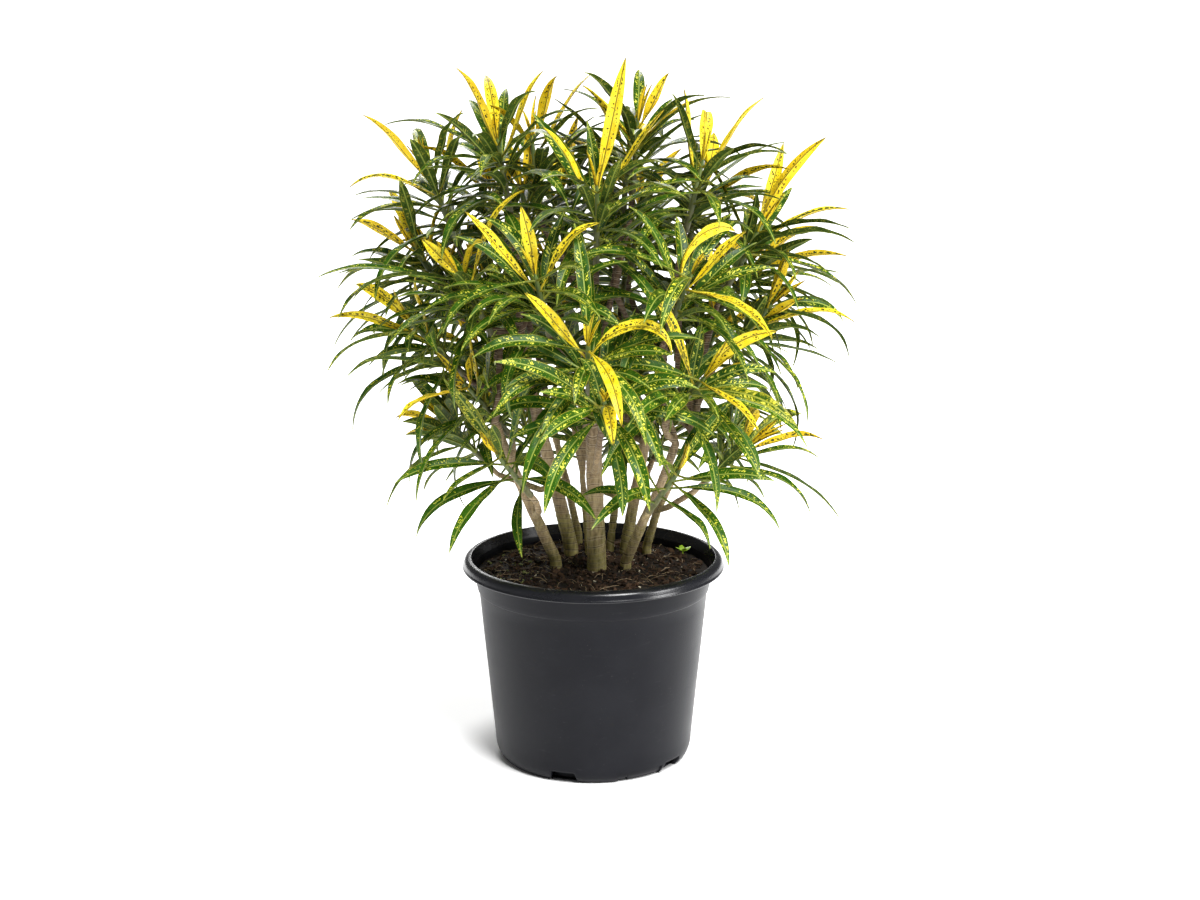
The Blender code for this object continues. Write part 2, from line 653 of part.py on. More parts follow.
def in_bounds(points):
    for p in points:
        if abs(p.x) > CROWN_REACH_X or abs(p.y) > CROWN_REACH_Y:
            return False
        if p.z > CROWN_TOP or p.z < LEAF_FLOOR:
            return False
        if p.y < 0 and abs(p.x) < WINDOW_HALF and p.z < WINDOW_TOP:
            return False
    return True


def try_leaf(room, shoot, face, direction, bend, length, width, twist):
    """Place one leaf if it clears everything, and say whether it did."""
    root, normal = shoot.face_root(*face)
    if direction.dot(normal) < 0.05:
        return False
    line = leaf_line(root, normal, direction, bend, length)
    if not in_bounds(line[1:]):
        return False
    sections = leaf_sections(line, normal, shoot.axis, width, twist)
    if sections[0][3].dot(sections[1][3]) < MOST_TWISTED:
        return False
    own, own_stem, own_outer = shoot.name, f"green_{shoot.name}", f"outer_{shoot.name}"
    whole = shoot.leaf_solid(face, line, sections)
    if not room.is_clear(*whole, skip=(own, own_stem, own_outer)):
        return False
    outer = swollen_leaf(line, sections)
    if not room.is_clear(*outer, skip=(own,)):
        return False
    shoot.leaves[face] = (line, sections)
    if crosses_itself(*shoot.solid()):
        del shoot.leaves[face]
        return False
    room.add(own, *whole)
    room.add(own_outer, *outer)
    return True


def world_direction(heading, pitch):
    flat = Vector((math.cos(heading), math.sin(heading), 0))
    return flat * math.cos(pitch) + Vector((0, 0, math.sin(pitch)))


def place_young(room, shoot, young, chance):
    """A leaf whose heading and pitch are given, on the free face that suits it best."""
    heading, pitch, bend, length = young
    for attempt in range(40):
        spread = 0.02 * attempt
        direction = world_direction(math.radians(heading) + chance.uniform(-spread, spread),
                                    math.radians(pitch) + chance.uniform(-spread, spread) * 0.7)
        faces = shoot.free_faces()[:6 + attempt // 6]
        faces.sort(key=lambda face: -direction.dot(shoot.face_root(*face)[1]))
        width = LEAF_WIDTH * (0.62 + 0.38 * min(1.0, length / 95.0))
        turned_by = chance.uniform(-0.25, 0.25)
        for face in faces[:3]:
            size = length / 1000 * (1 - 0.008 * attempt)
            if try_leaf(room, shoot, face, direction, math.radians(bend), size, width, turned_by):
                return True
    return False


def place_rest(room, shoot, chance):
    """The remaining leaves by rule: lower leaves are longer, flatter and more bent."""
    total = shoot.plan["count"]
    for k, face in enumerate(shoot.free_faces(), start=len(shoot.leaves)):
        if len(shoot.leaves) >= total:
            break
        age = k / max(1, total - 1)
        for attempt in range(36):
            loose = 0.12 + 0.02 * attempt
            _, normal = shoot.face_root(*face)
            spin = Matrix.Rotation(chance.uniform(-loose, loose), 3, shoot.axis)
            open_angle = math.radians(22 + 60 * age ** 0.8) + chance.uniform(-loose, loose) * 0.8
            open_angle = max(0.30, min(1.75, open_angle))
            direction = math.cos(open_angle) * shoot.axis + math.sin(open_angle) * (spin @ normal)
            bend = math.radians(14 + 58 * age) + chance.uniform(-loose, loose) * 1.2
            size = LEAF_LENGTH * (0.66 + 0.34 * min(1.0, age * 2.2)) * chance.uniform(0.88, 1.04)
            size *= 1 - 0.012 * attempt
            width = LEAF_WIDTH * chance.uniform(0.86, 1.06)
            if try_leaf(room, shoot, face, direction.normalized(), max(0.05, bend), size, width,
                        chance.uniform(-0.25, 0.25)):
                break


def grow_shoots(plans, stems):
    room = Room()
    room.add("pot", *turned(pot_profile(), POT_SIDES))
    for name, stem in stems.items():
        room.add(f"stem_{name}", *tube(stem["path"], [r + 0.0005 for r in stem["radii"]], 8))
        for shoot_name, points, radii in stem["branches"]:
            room.add(f"branch_{shoot_name}", *tube(points, [r + 0.0005 for r in radii], BRANCH_SIDES))
    shoots = [Shoot(name, plan) for name, plan in plans.items()]
    for shoot in shoots:
        room.add(f"green_{shoot.name}", shoot.verts, shoot.stem_faces(with_leaves=False))
    chance = random.Random(7)
    for shoot in shoots:
        for young in shoot.plan["young"]:
            if not place_young(room, shoot, young, chance):
                print("young leaf left out:", shoot.name, young)
    for shoot in shoots:
        place_rest(room, shoot, chance)
    return shoots


# ---- Seedling --------------------------------------------------------------------------
def make_seedling(green):
    """A weed seedling beside the stems: a short stalk with four small leaves."""
    axis = Vector((0.10, -0.12, 1)).normalized()
    seedling = Shoot("seedling", {"axis": axis, "base": SEEDLING_FOOT, "bands": 2, "scale": SEEDLING_SCALE})
    for face, size in zip(seedling.free_faces(), (0.008, 0.010, 0.011, 0.009)):
        root, normal = seedling.face_root(*face)
        direction = (0.75 * axis + normal).normalized()
        line = leaf_line(root, normal, direction, 0.7, size, 0.0004)
        seedling.leaves[face] = (line, leaf_sections(line, normal, axis, 0.5 * size, 0.0))
    return add_piece("weed_seedling", *seedling.solid(), green)


def build():
    for old in list(bpy.data.objects):
        bpy.data.objects.remove(old)
    plastic = make_material("black_plastic", (0.035, 0.035, 0.040), 0.38)
    soil_material = make_material("potting_mix", (0.030, 0.018, 0.010), 0.95)
    bark = make_material("bark", (0.20, 0.15, 0.09), 0.80)
    leaf = make_material("speckled_leaf", (0.10, 0.22, 0.04), 0.35)

    plans = all_shoots()
    stems = grow_wood(plans)
    make_pot(plastic)
    make_soil(soil_material, stems)
    for name, stem in stems.items():
        make_stem(name, stem, bark)
    make_seedling(leaf)
    shoots = grow_shoots(plans, stems)
    for shoot in shoots:
        add_piece(f"shoot_{shoot.name}", *shoot.solid(), leaf)
    print("leaves:", sum(len(shoot.leaves) for shoot in shoots), "shoots:", len(shoots))


build()
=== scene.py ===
# %% [markdown]
# # A potted croton
# A bushy croton in a black nursery pot. Nine woody stems stand in the soil, and each of their
# branches ends in a whorl of narrow leaves: the youngest are bright yellow, the older ones dark
# green with yellow specks. The frame holds the exact sizes and places of every piece, so each
# cell below reads a plain solid from it and makes the real surface in the same place.

# %% Load the frame
import math
import random

import bmesh
import bpy
import numpy as np
from mathutils import Matrix, Vector, noise


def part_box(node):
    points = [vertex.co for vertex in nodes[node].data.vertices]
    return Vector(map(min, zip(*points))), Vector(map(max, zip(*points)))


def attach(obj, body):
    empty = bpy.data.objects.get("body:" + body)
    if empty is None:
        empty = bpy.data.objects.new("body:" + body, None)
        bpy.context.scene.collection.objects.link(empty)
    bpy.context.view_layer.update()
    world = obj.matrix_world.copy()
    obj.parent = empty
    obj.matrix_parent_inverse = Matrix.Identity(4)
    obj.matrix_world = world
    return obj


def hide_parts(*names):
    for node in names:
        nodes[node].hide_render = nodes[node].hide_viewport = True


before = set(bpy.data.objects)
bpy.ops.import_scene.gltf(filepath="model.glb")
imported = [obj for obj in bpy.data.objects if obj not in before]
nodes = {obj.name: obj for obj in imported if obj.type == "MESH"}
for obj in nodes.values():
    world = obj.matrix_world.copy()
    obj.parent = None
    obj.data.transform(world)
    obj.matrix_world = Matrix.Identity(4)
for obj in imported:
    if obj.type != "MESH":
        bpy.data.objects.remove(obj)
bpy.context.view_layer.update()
print("solids in the frame:", len(nodes))

# %% [markdown]
# Every piece is a mesh of points and faces, which this helper turns into an object. It could be
# modelled by hand, but points worked out by a formula can be changed and rebuilt. A piece can
# carry numbers for each point, such as how old a leaf is, and its material reads them by name.

# %% Mesh helpers
def add_piece(name, points, faces, materials, numbers=None, chosen=None, sharp=50):
    """A mesh object that rides on the root body and takes its finish from a slot."""
    mesh = bpy.data.meshes.new(name)
    mesh.from_pydata([tuple(p) for p in points], [], faces)
    for material in materials:
        mesh.materials.append(material)
    if chosen is not None:
        mesh.polygons.foreach_set("material_index", np.array(chosen, np.int32))
    for key, values in (numbers or {}).items():
        values = np.asarray(values, np.float32)
        kind = "FLOAT_VECTOR" if values.ndim == 2 else "FLOAT"
        layer = mesh.attributes.new(key, kind, "POINT")
        layer.data.foreach_set("vector" if values.ndim == 2 else "value", values.ravel())
    mesh.shade_smooth()
    mesh.set_sharp_from_angle(angle=math.radians(sharp))
    mesh.update()
    piece = bpy.data.objects.new(name, mesh)
    bpy.context.scene.collection.objects.link(piece)
    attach(piece, "root")
    return piece


def loft(rings, start=0):
    """Quads between rings of points that have the same count, and a cap on each end."""
    count = len(rings[0])
    faces = [tuple(start + i for i in reversed(range(count)))]
    for r in range(len(rings) - 1):
        low = start + r * count
        for i in range(count):
            j = (i + 1) % count
            faces.append((low + i, low + j, low + count + j, low + count + i))
    last = start + (len(rings) - 1) * count
    faces.append(tuple(last + i for i in range(count)))
    return faces


def tube(path, radii, sides=8):
    """Rings of points round a path."""
    path = np.asarray(path, float)
    tangents = np.gradient(path, axis=0)
    tangents /= np.linalg.norm(tangents, axis=1)[:, None]
    guide = np.array([1.0, 0, 0]) if abs(tangents[0][0]) < 0.8 else np.array([0, 1.0, 0])
    rings = []
    for point, radius, along in zip(path, radii, tangents):
        side = guide - along * guide.dot(along)
        side /= np.linalg.norm(side)
        guide = side
        other = np.cross(along, side)
        turn = 2 * np.pi * np.arange(sides) / sides
        circle = np.cos(turn)[:, None] * side + np.sin(turn)[:, None] * other
        rings.append(point + radius * circle)
    return rings


def smooth_noise(points, scale, seed=0.0):
    return np.array([noise.noise(Vector(p) * scale + Vector((seed, seed * 1.7, 0))) for p in points])


# %% [markdown]
# A material is a small network of nodes. This helper class keeps the network short to write: a
# value that is a number goes straight on the socket, and anything else is linked to it.

# %% Material helpers
class Finish:
    """A material with one Principled surface, and short ways to add texture nodes."""

    def __init__(self, name, **surface):
        self.material = bpy.data.materials.new(name)
        self.material.use_nodes = True
        self.tree = self.material.node_tree
        self.surface = self.tree.nodes["Principled BSDF"]
        self.fill(self.surface, surface)

    def fill(self, node, values):
        for key, value in values.items():
            name = key if isinstance(key, int) else key.replace("_", " ").title()
            name = {"Ior": "IOR", "Specular Ior Level": "Specular IOR Level"}.get(name, name)
            socket = node.inputs[name]
            if isinstance(value, bpy.types.NodeSocket):
                self.tree.links.new(value, socket)
            elif isinstance(value, tuple) and len(value) == 3 and socket.type == "RGBA":
                socket.default_value = (*value, 1.0)
            else:
                socket.default_value = value

    def add(self, kind, values=None, **settings):
        node = self.tree.nodes.new("ShaderNode" + kind)
        for key, value in settings.items():
            setattr(node, key, value)
        self.fill(node, values or {})
        return node

    def place(self):
        return self.add("TexCoord").outputs["Object"]

    def number(self, name, part="Fac"):
        return self.add("Attribute", attribute_name=name).outputs[part]

    def math(self, operation, a, b=0.0, c=0.0):
        node = self.add("Math", {0: a, 1: b, 2: c}, operation=operation)
        return node.outputs[0]

    def vector(self, operation, a, b=(0, 0, 0), scale=1.0):
        node = self.add("VectorMath", {0: a}, operation=operation)
        if operation == "SCALE":
            self.fill(node, {3: scale})
        else:
            self.fill(node, {1: b})
        return node.outputs[0]

    def steps(self, value, low, high, to_low=0.0, to_high=1.0, smooth=True):
        """value mapped from low..high to to_low..to_high, held outside that range."""
        kind = "SMOOTHSTEP" if smooth else "LINEAR"
        node = self.add("MapRange", {0: value, 1: low, 2: high, 3: to_low, 4: to_high},
                        interpolation_type=kind)
        return node.outputs[0]

    def mix(self, share, a, b, blend="MIX"):
        node = self.add("Mix", data_type="RGBA", blend_type=blend)
        for number, value in ((0, share), (6, a), (7, b)):
            socket = node.inputs[number]
            if isinstance(value, bpy.types.NodeSocket):
                self.tree.links.new(value, socket)
            elif isinstance(value, tuple):
                socket.default_value = (*value, 1.0)
            else:
                socket.default_value = value
        return node.outputs[2]

    def noise(self, place, scale, detail=3.0, rough=0.55, distortion=0.0):
        values = {"vector": place, "scale": scale, "detail": detail, "roughness": rough,
                  "distortion": distortion}
        return self.add("TexNoise", values).outputs[0]

    def cells(self, place, scale, feature="F1"):
        return self.add("TexVoronoi", {"vector": place, "scale": scale}, feature=feature)

    def bump(self, height, strength, distance):
        node = self.add("Bump", {"height": height, "strength": strength, "distance": distance})
        self.fill(self.surface, {"normal": node.outputs[0]})

    def split(self, vector):
        return self.add("SeparateXYZ", {0: vector}).outputs


# %% [markdown]
# ## The pot
# The pot is moulded black plastic with a satin skin: dark, a little blue, with faint scuffs where
# pots are stacked and slid. It could be one flat colour, but no used pot is that even. The scuffs
# are stretched round the pot, so they come from noise that is squeezed along the height. The lip
# is the same plastic, a little glossier from handling.

# %% Pot plastic
def pot_finish(name, gloss, smoother):
    f = Finish(name)
    place = f.place()
    flat = f.vector("MULTIPLY", place, (1.0, 1.0, 5.0))
    clouds = f.noise(place, 22.0, 4.0)
    scuffs = f.steps(f.noise(flat, 55.0, 6.0, 0.7, 0.6), 0.60, 0.74)
    specks = f.steps(f.cells(place, 420.0).outputs["Distance"], 0.10, 0.05)
    few = f.steps(f.noise(place, 60.0, 2.0), 0.56, 0.64)
    dust = f.math("MULTIPLY", specks, few)
    colour = f.mix(f.steps(clouds, 0.3, 0.7), (0.0056, 0.0059, 0.0084), (0.0084, 0.0088, 0.0116))
    colour = f.mix(f.math("MULTIPLY", scuffs, 0.30), colour, (0.032, 0.032, 0.036))
    colour = f.mix(f.math("MULTIPLY", dust, 0.5), colour, (0.10, 0.095, 0.085))
    rough = f.math("ADD", f.steps(clouds, 0.3, 0.7, 0.33, 0.40), f.math("MULTIPLY", scuffs, 0.12))
    rough = f.math("SUBTRACT", rough, smoother)
    f.fill(f.surface, {"base_color": colour, "roughness": rough, "specular_ior_level": gloss})
    fine = f.noise(place, 900.0, 3.0)
    f.bump(f.math("ADD", fine, f.math("MULTIPLY", clouds, 2.0)), 0.10, 0.0006)
    return f.material


plastic = pot_finish("pot_plastic", 0.12, 0.0)
lip_plastic = pot_finish("pot_lip_plastic", 0.45, 0.10)
print("pot finishes:", plastic.name, lip_plastic.name)

# %% [markdown]
# The wall is a turned shape: one outline of radius and height, swept round the axis. The skirt at
# the bottom isn't the same all the way round. It has five notches that let water out, and one
# stretch is stepped in a little. So each column of points asks how high the skirt's edge is at
# its own angle, and the columns stand exactly at the corners of the notches.

# %% Pot wall
rim_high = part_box("nursery_pot")[1]
RIM = rim_high.x
HEIGHT = rim_high.z
WALL = 0.0016
STEP = 0.140                  # height of the step under the plain band
FOOT, KNEE, KNEE_UP = 0.0715, 0.0797, 0.017
NOTCH_FIRST, NOTCH_TALL = math.radians(-18.0 - 90.0), 0.0094
NOTCH_HALF_LOW, NOTCH_HALF_HIGH = 0.0112, 0.0086
INSET_FROM, INSET_TO = math.radians(14.8 - 90.0), math.radians(44.4 - 90.0)
INSET_DEEP, INSET_LIFT = 0.0019, 0.0010
NICK = math.radians(20.5 - 90.0)
BAND_LOW, BAND_FOOT = 0.0930, STEP + 0.0006
LIP_LOW = HEIGHT - 0.0085
# how far in from the rim, and how far up from the lip's lower edge or down from its top
LIP_UNDER = [(0.0012, 0.0), (0.0003, 0.0001), (0.0, 0.0006), (0.0001, 0.0013), (0.0005, 0.0018),
             (0.0009, 0.0028)]
LIP_OVER = [(0.0013, 0.0036), (0.0020, 0.0022), (0.0032, 0.0011), (0.0050, 0.0003), (0.0066, 0.0),
            (0.0071, 0.0001), (0.0074, 0.0005), (0.0077, 0.0022)]


def notch_gap(angle):
    """Distance round the skirt from the middle of the nearest notch."""
    turn = 2 * math.pi / 5
    away = (angle - NOTCH_FIRST + turn / 2) % turn - turn / 2
    return abs(away) * FOOT


def skirt_edge(angle):
    gap = notch_gap(angle)
    share = (NOTCH_HALF_LOW - gap) / (NOTCH_HALF_LOW - NOTCH_HALF_HIGH)
    edge = NOTCH_TALL * min(1.0, max(0.0, share))
    if inset(angle, 0.0):
        edge = max(edge, INSET_LIFT)
    if abs(angle - NICK % (2 * math.pi)) * FOOT < 0.0008:
        edge = max(edge, 0.0036)
    return edge


def corner(height):
    t = 1 - height / KNEE_UP
    return FOOT + (KNEE - FOOT) * math.sqrt(max(0.0, 1 - t * t))


def wall_radius(height):
    if height < KNEE_UP:
        return corner(height)
    return KNEE + (height - KNEE_UP) / (STEP - KNEE_UP) * (0.0918 - KNEE)


def inset(angle, height):
    away = (angle - INSET_FROM) % (2 * math.pi)
    inside = away < INSET_TO - INSET_FROM
    return INSET_DEEP if inside and height < 0.0082 else 0.0


def build_pot():
    angles = [2 * math.pi * i / 216 for i in range(216)]
    for n in range(5):
        middle = NOTCH_FIRST + 2 * math.pi * n / 5
        for half in (NOTCH_HALF_LOW, NOTCH_HALF_HIGH):
            angles += [middle - half / FOOT, middle + half / FOOT]
    for edge in (INSET_FROM, INSET_TO):
        angles += [edge - 0.004, edge + 0.004]
    angles += [NICK + k for k in (-0.0125, -0.0105, 0.0105, 0.0125)]
    angles = sorted({round(a % (2 * math.pi), 5) for a in angles})
    outer = [0.0, 0.0006, 0.0030, 0.0055, 0.0081, 0.0083, 0.0110, 0.0140, 0.0170, 0.0200]
    outer += [0.020 + (STEP - 0.0012 - 0.020) * i / 12 for i in range(1, 13)]
    step = [(0.0919, STEP - 0.0008), (0.0923, STEP - 0.0003), (0.0927, STEP), (BAND_LOW, BAND_FOOT)]
    band = [(BAND_LOW + 0.0032 * i / 6, BAND_FOOT + 0.0164 * i / 6) for i in range(1, 7)]
    lip = [(0.0970, LIP_LOW + 0.0003)]
    lip += [(RIM - back, LIP_LOW + up) for back, up in LIP_UNDER]
    lip += [(RIM - back, HEIGHT - down) for back, down in LIP_OVER]
    inner = [(0.0945, LIP_LOW + 0.0005), (0.0940, LIP_LOW - 0.004), (0.0914, STEP)]
    inner += [(0.0903, STEP - 0.002)]
    inner += [(wall_radius(z) - WALL, z) for z in (0.110, 0.080, 0.050, 0.020, 0.0125, 0.0106)]
    under = [(corner(z) - WALL, edge_z) for z, edge_z in ((0.0085, 0.0090), (0.006, 0.006), (0.003, 0.003))]
    rows = []
    for angle in angles:
        edge = skirt_edge(angle)
        column = []
        for z in outer:
            z = max(z, edge)
            column.append((wall_radius(z) - inset(angle, z), z))
        column += step + band + lip + inner
        column += [(r, max(z, edge)) for r, z in under]
        column.append((corner(edge) - WALL - 0.0010, edge))
        column.append((corner(edge) - 0.0004 - inset(angle, edge), edge))
        rows.append([(r * math.cos(angle), r * math.sin(angle), z) for r, z in column])
    count = len(rows[0])
    points = [p for row in rows for p in row]
    faces = []
    for c in range(len(rows)):
        d = (c + 1) % len(rows)
        for k in range(count):
            m = (k + 1) % count
            faces.append((c * count + k, d * count + k, d * count + m, c * count + m))
    on_lip = [int(min(points[k][2] for k in face) > HEIGHT - 0.0090) for face in faces]
    wall = add_piece("pot_wall", points, faces, [plastic, lip_plastic],
                     None, on_lip, 38)
    bm = bmesh.new()
    bm.from_mesh(wall.data)
    bmesh.ops.remove_doubles(bm, verts=bm.verts[:], dist=2e-6)
    bmesh.ops.dissolve_degenerate(bm, edges=bm.edges[:], dist=1e-6)
    bm.to_mesh(wall.data)
    bm.free()
    return wall


pot_wall = build_pot()
print("pot wall points:", len(pot_wall.data.vertices))

# %% [markdown]
# The raised floor sits inside the skirt. Six drain holes go through it, cut with a boolean, the
# way a drill would make them.

# %% Pot floor
def build_floor():
    disc = corner(0.0098) - WALL * 0.6
    rings = []
    for z, r in ((0.0090, 0.004), (0.0090, disc - 0.0004), (0.0094, disc), (0.0102, disc),
                 (0.0106, disc - 0.0004), (0.0106, 0.004)):
        rings.append([(r * math.cos(2 * math.pi * i / 96), r * math.sin(2 * math.pi * i / 96), z)
                      for i in range(96)])
    plate = add_piece("pot_floor", [p for ring in rings for p in ring], loft(rings), [plastic],
                      sharp=38)
    cutter_points, cutter_faces = [], []
    for n in range(6):
        angle = 2 * math.pi * (n + 0.57) / 6
        middle = np.array([0.050 * math.cos(angle), 0.050 * math.sin(angle), 0.0])
        drill = tube([middle + (0, 0, 0.006), middle + (0, 0, 0.014)], [0.0055, 0.0055], 28)
        cutter_faces += loft(drill, len(cutter_points))
        cutter_points += [p for ring in drill for p in ring]
    mesh = bpy.data.meshes.new("drill")
    mesh.from_pydata([tuple(p) for p in cutter_points], [], cutter_faces)
    drill = bpy.data.objects.new("drill", mesh)
    bpy.context.scene.collection.objects.link(drill)
    cut = plate.modifiers.new("holes", "BOOLEAN")
    cut.object, cut.operation, cut.solver = drill, "DIFFERENCE", "EXACT"
    seen = plate.evaluated_get(bpy.context.evaluated_depsgraph_get())
    solid = bpy.data.meshes.new_from_object(seen)
    plate.modifiers.clear()
    plate.data = solid
    bpy.data.objects.remove(drill)
    return plate


def build_foot_ring():
    """A low ring with a flange, just inside the skirt."""
    outline = [(0.0655, 0.0004), (0.0697, 0.0004), (0.0699, 0.0008), (0.0697, 0.0012)]
    outline += [(0.0674, 0.0014), (0.0670, 0.0020), (0.0668, 0.0094), (0.0657, 0.0094)]
    points = [(r * math.cos(2 * math.pi * i / 96), r * math.sin(2 * math.pi * i / 96), z)
              for i in range(96) for r, z in outline]
    count = len(outline)
    faces = []
    for i in range(96):
        a, b = i * count, (i + 1) % 96 * count
        faces += [(a + k, b + k, b + (k + 1) % count, a + (k + 1) % count) for k in range(count)]
    return add_piece("pot_foot_ring", points, faces, [plastic], sharp=38)


pot_floor = build_floor()
build_foot_ring()
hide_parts("nursery_pot")
print("floor faces after drilling:", len(pot_floor.data.polygons))

# %% [markdown]
# ## The soil
# Potting mix is composted bark and peat: nearly black when damp, made of crumbs, chips and fine
# roots. The bed is a disc whose height comes from several sizes of noise, and over it lie loose
# chips, fibres and a few pale bits, each a small mesh of its own shape.

# %% Soil finishes
def crumb_finish(name, dark, light, rough=0.9):
    f = Finish(name)
    place = f.place()
    tone = f.steps(f.noise(place, 260.0, 5.0, 0.7), 0.32, 0.70)
    patch = f.steps(f.noise(place, 45.0, 2.0), 0.35, 0.65)
    colour = f.mix(tone, dark, light)
    colour = f.mix(f.math("MULTIPLY", patch, 0.5), colour, dark)
    own = f.number("tint")
    colour = f.mix(own, colour, (0.115, 0.062, 0.032))
    f.fill(f.surface, {"base_color": colour, "roughness": rough, "specular_ior_level": 0.35})
    f.bump(f.noise(place, 900.0, 4.0, 0.7), 0.5, 0.0006)
    return f.material


def plain_finish(name, low, high, rough, scale=300.0):
    f = Finish(name)
    place = f.place()
    colour = f.mix(f.steps(f.noise(place, scale, 3.0), 0.3, 0.7), low, high)
    f.fill(f.surface, {"base_color": colour, "roughness": rough})
    f.bump(f.noise(place, scale * 3, 2.0), 0.2, 0.0004)
    return f.material


crumbs = crumb_finish("soil_crumbs", (0.0050, 0.0030, 0.0020), (0.032, 0.0175, 0.0095))
fibre = plain_finish("soil_fibre", (0.20, 0.13, 0.07), (0.42, 0.32, 0.20), 0.8)
pale = plain_finish("soil_pale_bits", (0.50, 0.42, 0.28), (0.75, 0.70, 0.55), 0.7)
moss = plain_finish("soil_green_flecks", (0.10, 0.13, 0.03), (0.30, 0.32, 0.10), 0.75)
print("soil finishes:", crumbs.name, fibre.name, pale.name, moss.name)

# %% [markdown]
# The bed itself is a disc of many rings. A displace modifier could raise it, but working out the
# height here means that the chips and fibres below can ask for it too, and lie on the surface.

# %% Soil bed
chance = random.Random(11)
SOIL_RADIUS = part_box("potting_soil")[1].x


def soil_height(x, y):
    r = math.hypot(x, y) / SOIL_RADIUS
    base = 0.1556 - 0.0030 * r * r
    p = Vector((x, y, 0.0))
    lumps = noise.noise(p * 38) * 0.0014 + noise.noise(p * 110) * 0.0012
    crumb = abs(noise.noise(p * 320)) * 0.0012 + noise.noise(p * 700) * 0.0005
    return base + (lumps + crumb) * (1 - 0.3 * r)


def build_soil():
    rings_out, around = 110, 300
    points = [(0, 0, soil_height(0, 0))]
    for k in range(1, rings_out + 1):
        r = SOIL_RADIUS * k / rings_out
        for i in range(around):
            a = 2 * math.pi * (i + 0.5 * (k % 2)) / around
            x, y = r * math.cos(a), r * math.sin(a)
            points.append((x, y, soil_height(x, y)))
    for r in (SOIL_RADIUS, SOIL_RADIUS * 0.5):
        for i in range(around):
            a = 2 * math.pi * i / around
            points.append((r * math.cos(a), r * math.sin(a), 0.146))
    faces = [(0, 1 + i, 1 + (i + 1) % around) for i in range(around)]
    for k in range(rings_out + 1):
        low = 1 + k * around
        for i in range(around):
            j = (i + 1) % around
            faces.append((low + i, low + around + i, low + around + j, low + j))
    last = 1 + (rings_out + 1) * around
    faces.append(tuple(last + i for i in reversed(range(around))))
    tint = [0.0] * len(points)
    return add_piece("soil_bed", points, faces, [crumbs], {"tint": tint}, sharp=70)


soil_bed = build_soil()
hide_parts("potting_soil")
print("soil bed faces:", len(soil_bed.data.polygons))

# %% [markdown]
# A chip is a rough little block: eight corners, each pushed a little its own way. Two thousand of
# them in one mesh cost little, and their shadows give the soil its depth.

# %% Chips and fibres
def chip(middle, size, flatness, heading):
    turn = Matrix.Rotation(heading, 3, "Z") @ Matrix.Rotation(chance.uniform(-0.7, 0.7), 3, "X")
    turn = turn @ Matrix.Rotation(chance.uniform(-0.6, 0.6), 3, "Y")
    corners = []
    for z in (-1, 1):
        for x, y in ((-1, -1), (1, -1), (1, 1), (-1, 1)):
            shrink = chance.uniform(0.45, 1.0)
            p = Vector((x * size * shrink, y * size * 0.55 * shrink, z * size * flatness * shrink))
            corners.append(middle + turn @ p)
    return corners


CHIP_FACES = [(0, 3, 2, 1), (4, 5, 6, 7), (0, 1, 5, 4), (1, 2, 6, 5), (2, 3, 7, 6), (3, 0, 4, 7)]


def scatter(name, count, sizes, material, inner, outer, tints, lift=0.3, within=None):
    points, faces, tint = [], [], []
    for _ in range(count):
        a = chance.uniform(0, 2 * math.pi)
        if within:
            a = chance.uniform(*within)
        r = math.sqrt(chance.uniform(inner ** 2, outer ** 2))
        size = chance.uniform(*sizes) * chance.uniform(0.6, 1.0)
        x, y = r * math.cos(a), r * math.sin(a)
        middle = Vector((x, y, soil_height(x, y) + size * lift))
        start = len(points)
        points += chip(middle, size, chance.uniform(0.18, 0.5), chance.uniform(0, math.pi))
        faces += [tuple(start + k for k in face) for face in CHIP_FACES]
        tint += [chance.uniform(*tints)] * 8
    return add_piece(name, points, faces, [material], {"tint": tint}, sharp=25)


scatter("soil_chips", 1900, (0.0010, 0.0034), crumbs, 0.0, SOIL_RADIUS - 0.004, (0.0, 0.55))
scatter("soil_big_chips", 150, (0.0030, 0.0056), crumbs, 0.012, SOIL_RADIUS - 0.008, (0.1, 0.8))
scatter("soil_pale_bits", 85, (0.0005, 0.0015), pale, 0.010, SOIL_RADIUS - 0.006, (0, 0), 0.9)
scatter("soil_green_flecks", 46, (0.0008, 0.0024), moss, 0.050, SOIL_RADIUS - 0.006, (0, 0), 0.8,
        (math.radians(140), math.radians(215)))


# start x and y, heading, length, bend and thickness of the longest ones
LONG_FIBRES = [(-0.018, -0.058, -1.5, 0.020, 0.25, 0.00042), (0.052, -0.015, 0.7, 0.016, 0.6, 0.00042),
               (0.036, -0.030, -0.75, 0.017, -0.3, 0.00035), (-0.050, -0.028, -0.7, 0.011, 0.3, 0.00040)]


def build_fibres():
    points, faces = [], []
    routes = []
    for _ in range(150):
        a, r = chance.uniform(0, 2 * math.pi), math.sqrt(chance.uniform(0.0001, 0.0072))
        routes.append((r * math.cos(a), r * math.sin(a), chance.uniform(0, 6.3),
                       chance.uniform(0.006, 0.020), chance.uniform(-1.5, 1.5),
                       chance.uniform(0.00010, 0.00026)))
    routes += LONG_FIBRES
    for x, y, heading, length, bend, thick in routes:
        path = []
        for k in range(9):
            t = k / 8
            turn = heading + bend * t
            x += math.cos(turn) * length / 8
            y += math.sin(turn) * length / 8
            if math.hypot(x, y) > SOIL_RADIUS - 0.003:
                break
            rise = 0.0006 + 0.0016 * math.sin(math.pi * t) + thick
            path.append((x, y, soil_height(x, y) + rise))
        if len(path) < 4:
            continue
        radii = [thick * (0.5 + math.sin(math.pi * (k + 0.5) / len(path)) * 0.5)
                 for k in range(len(path))]
        rings = tube(path, radii, 5)
        faces += loft(rings, len(points))
        points += [p for ring in rings for p in ring]
    add_piece("soil_fibres", points, faces, [fibre])
    return len(routes)


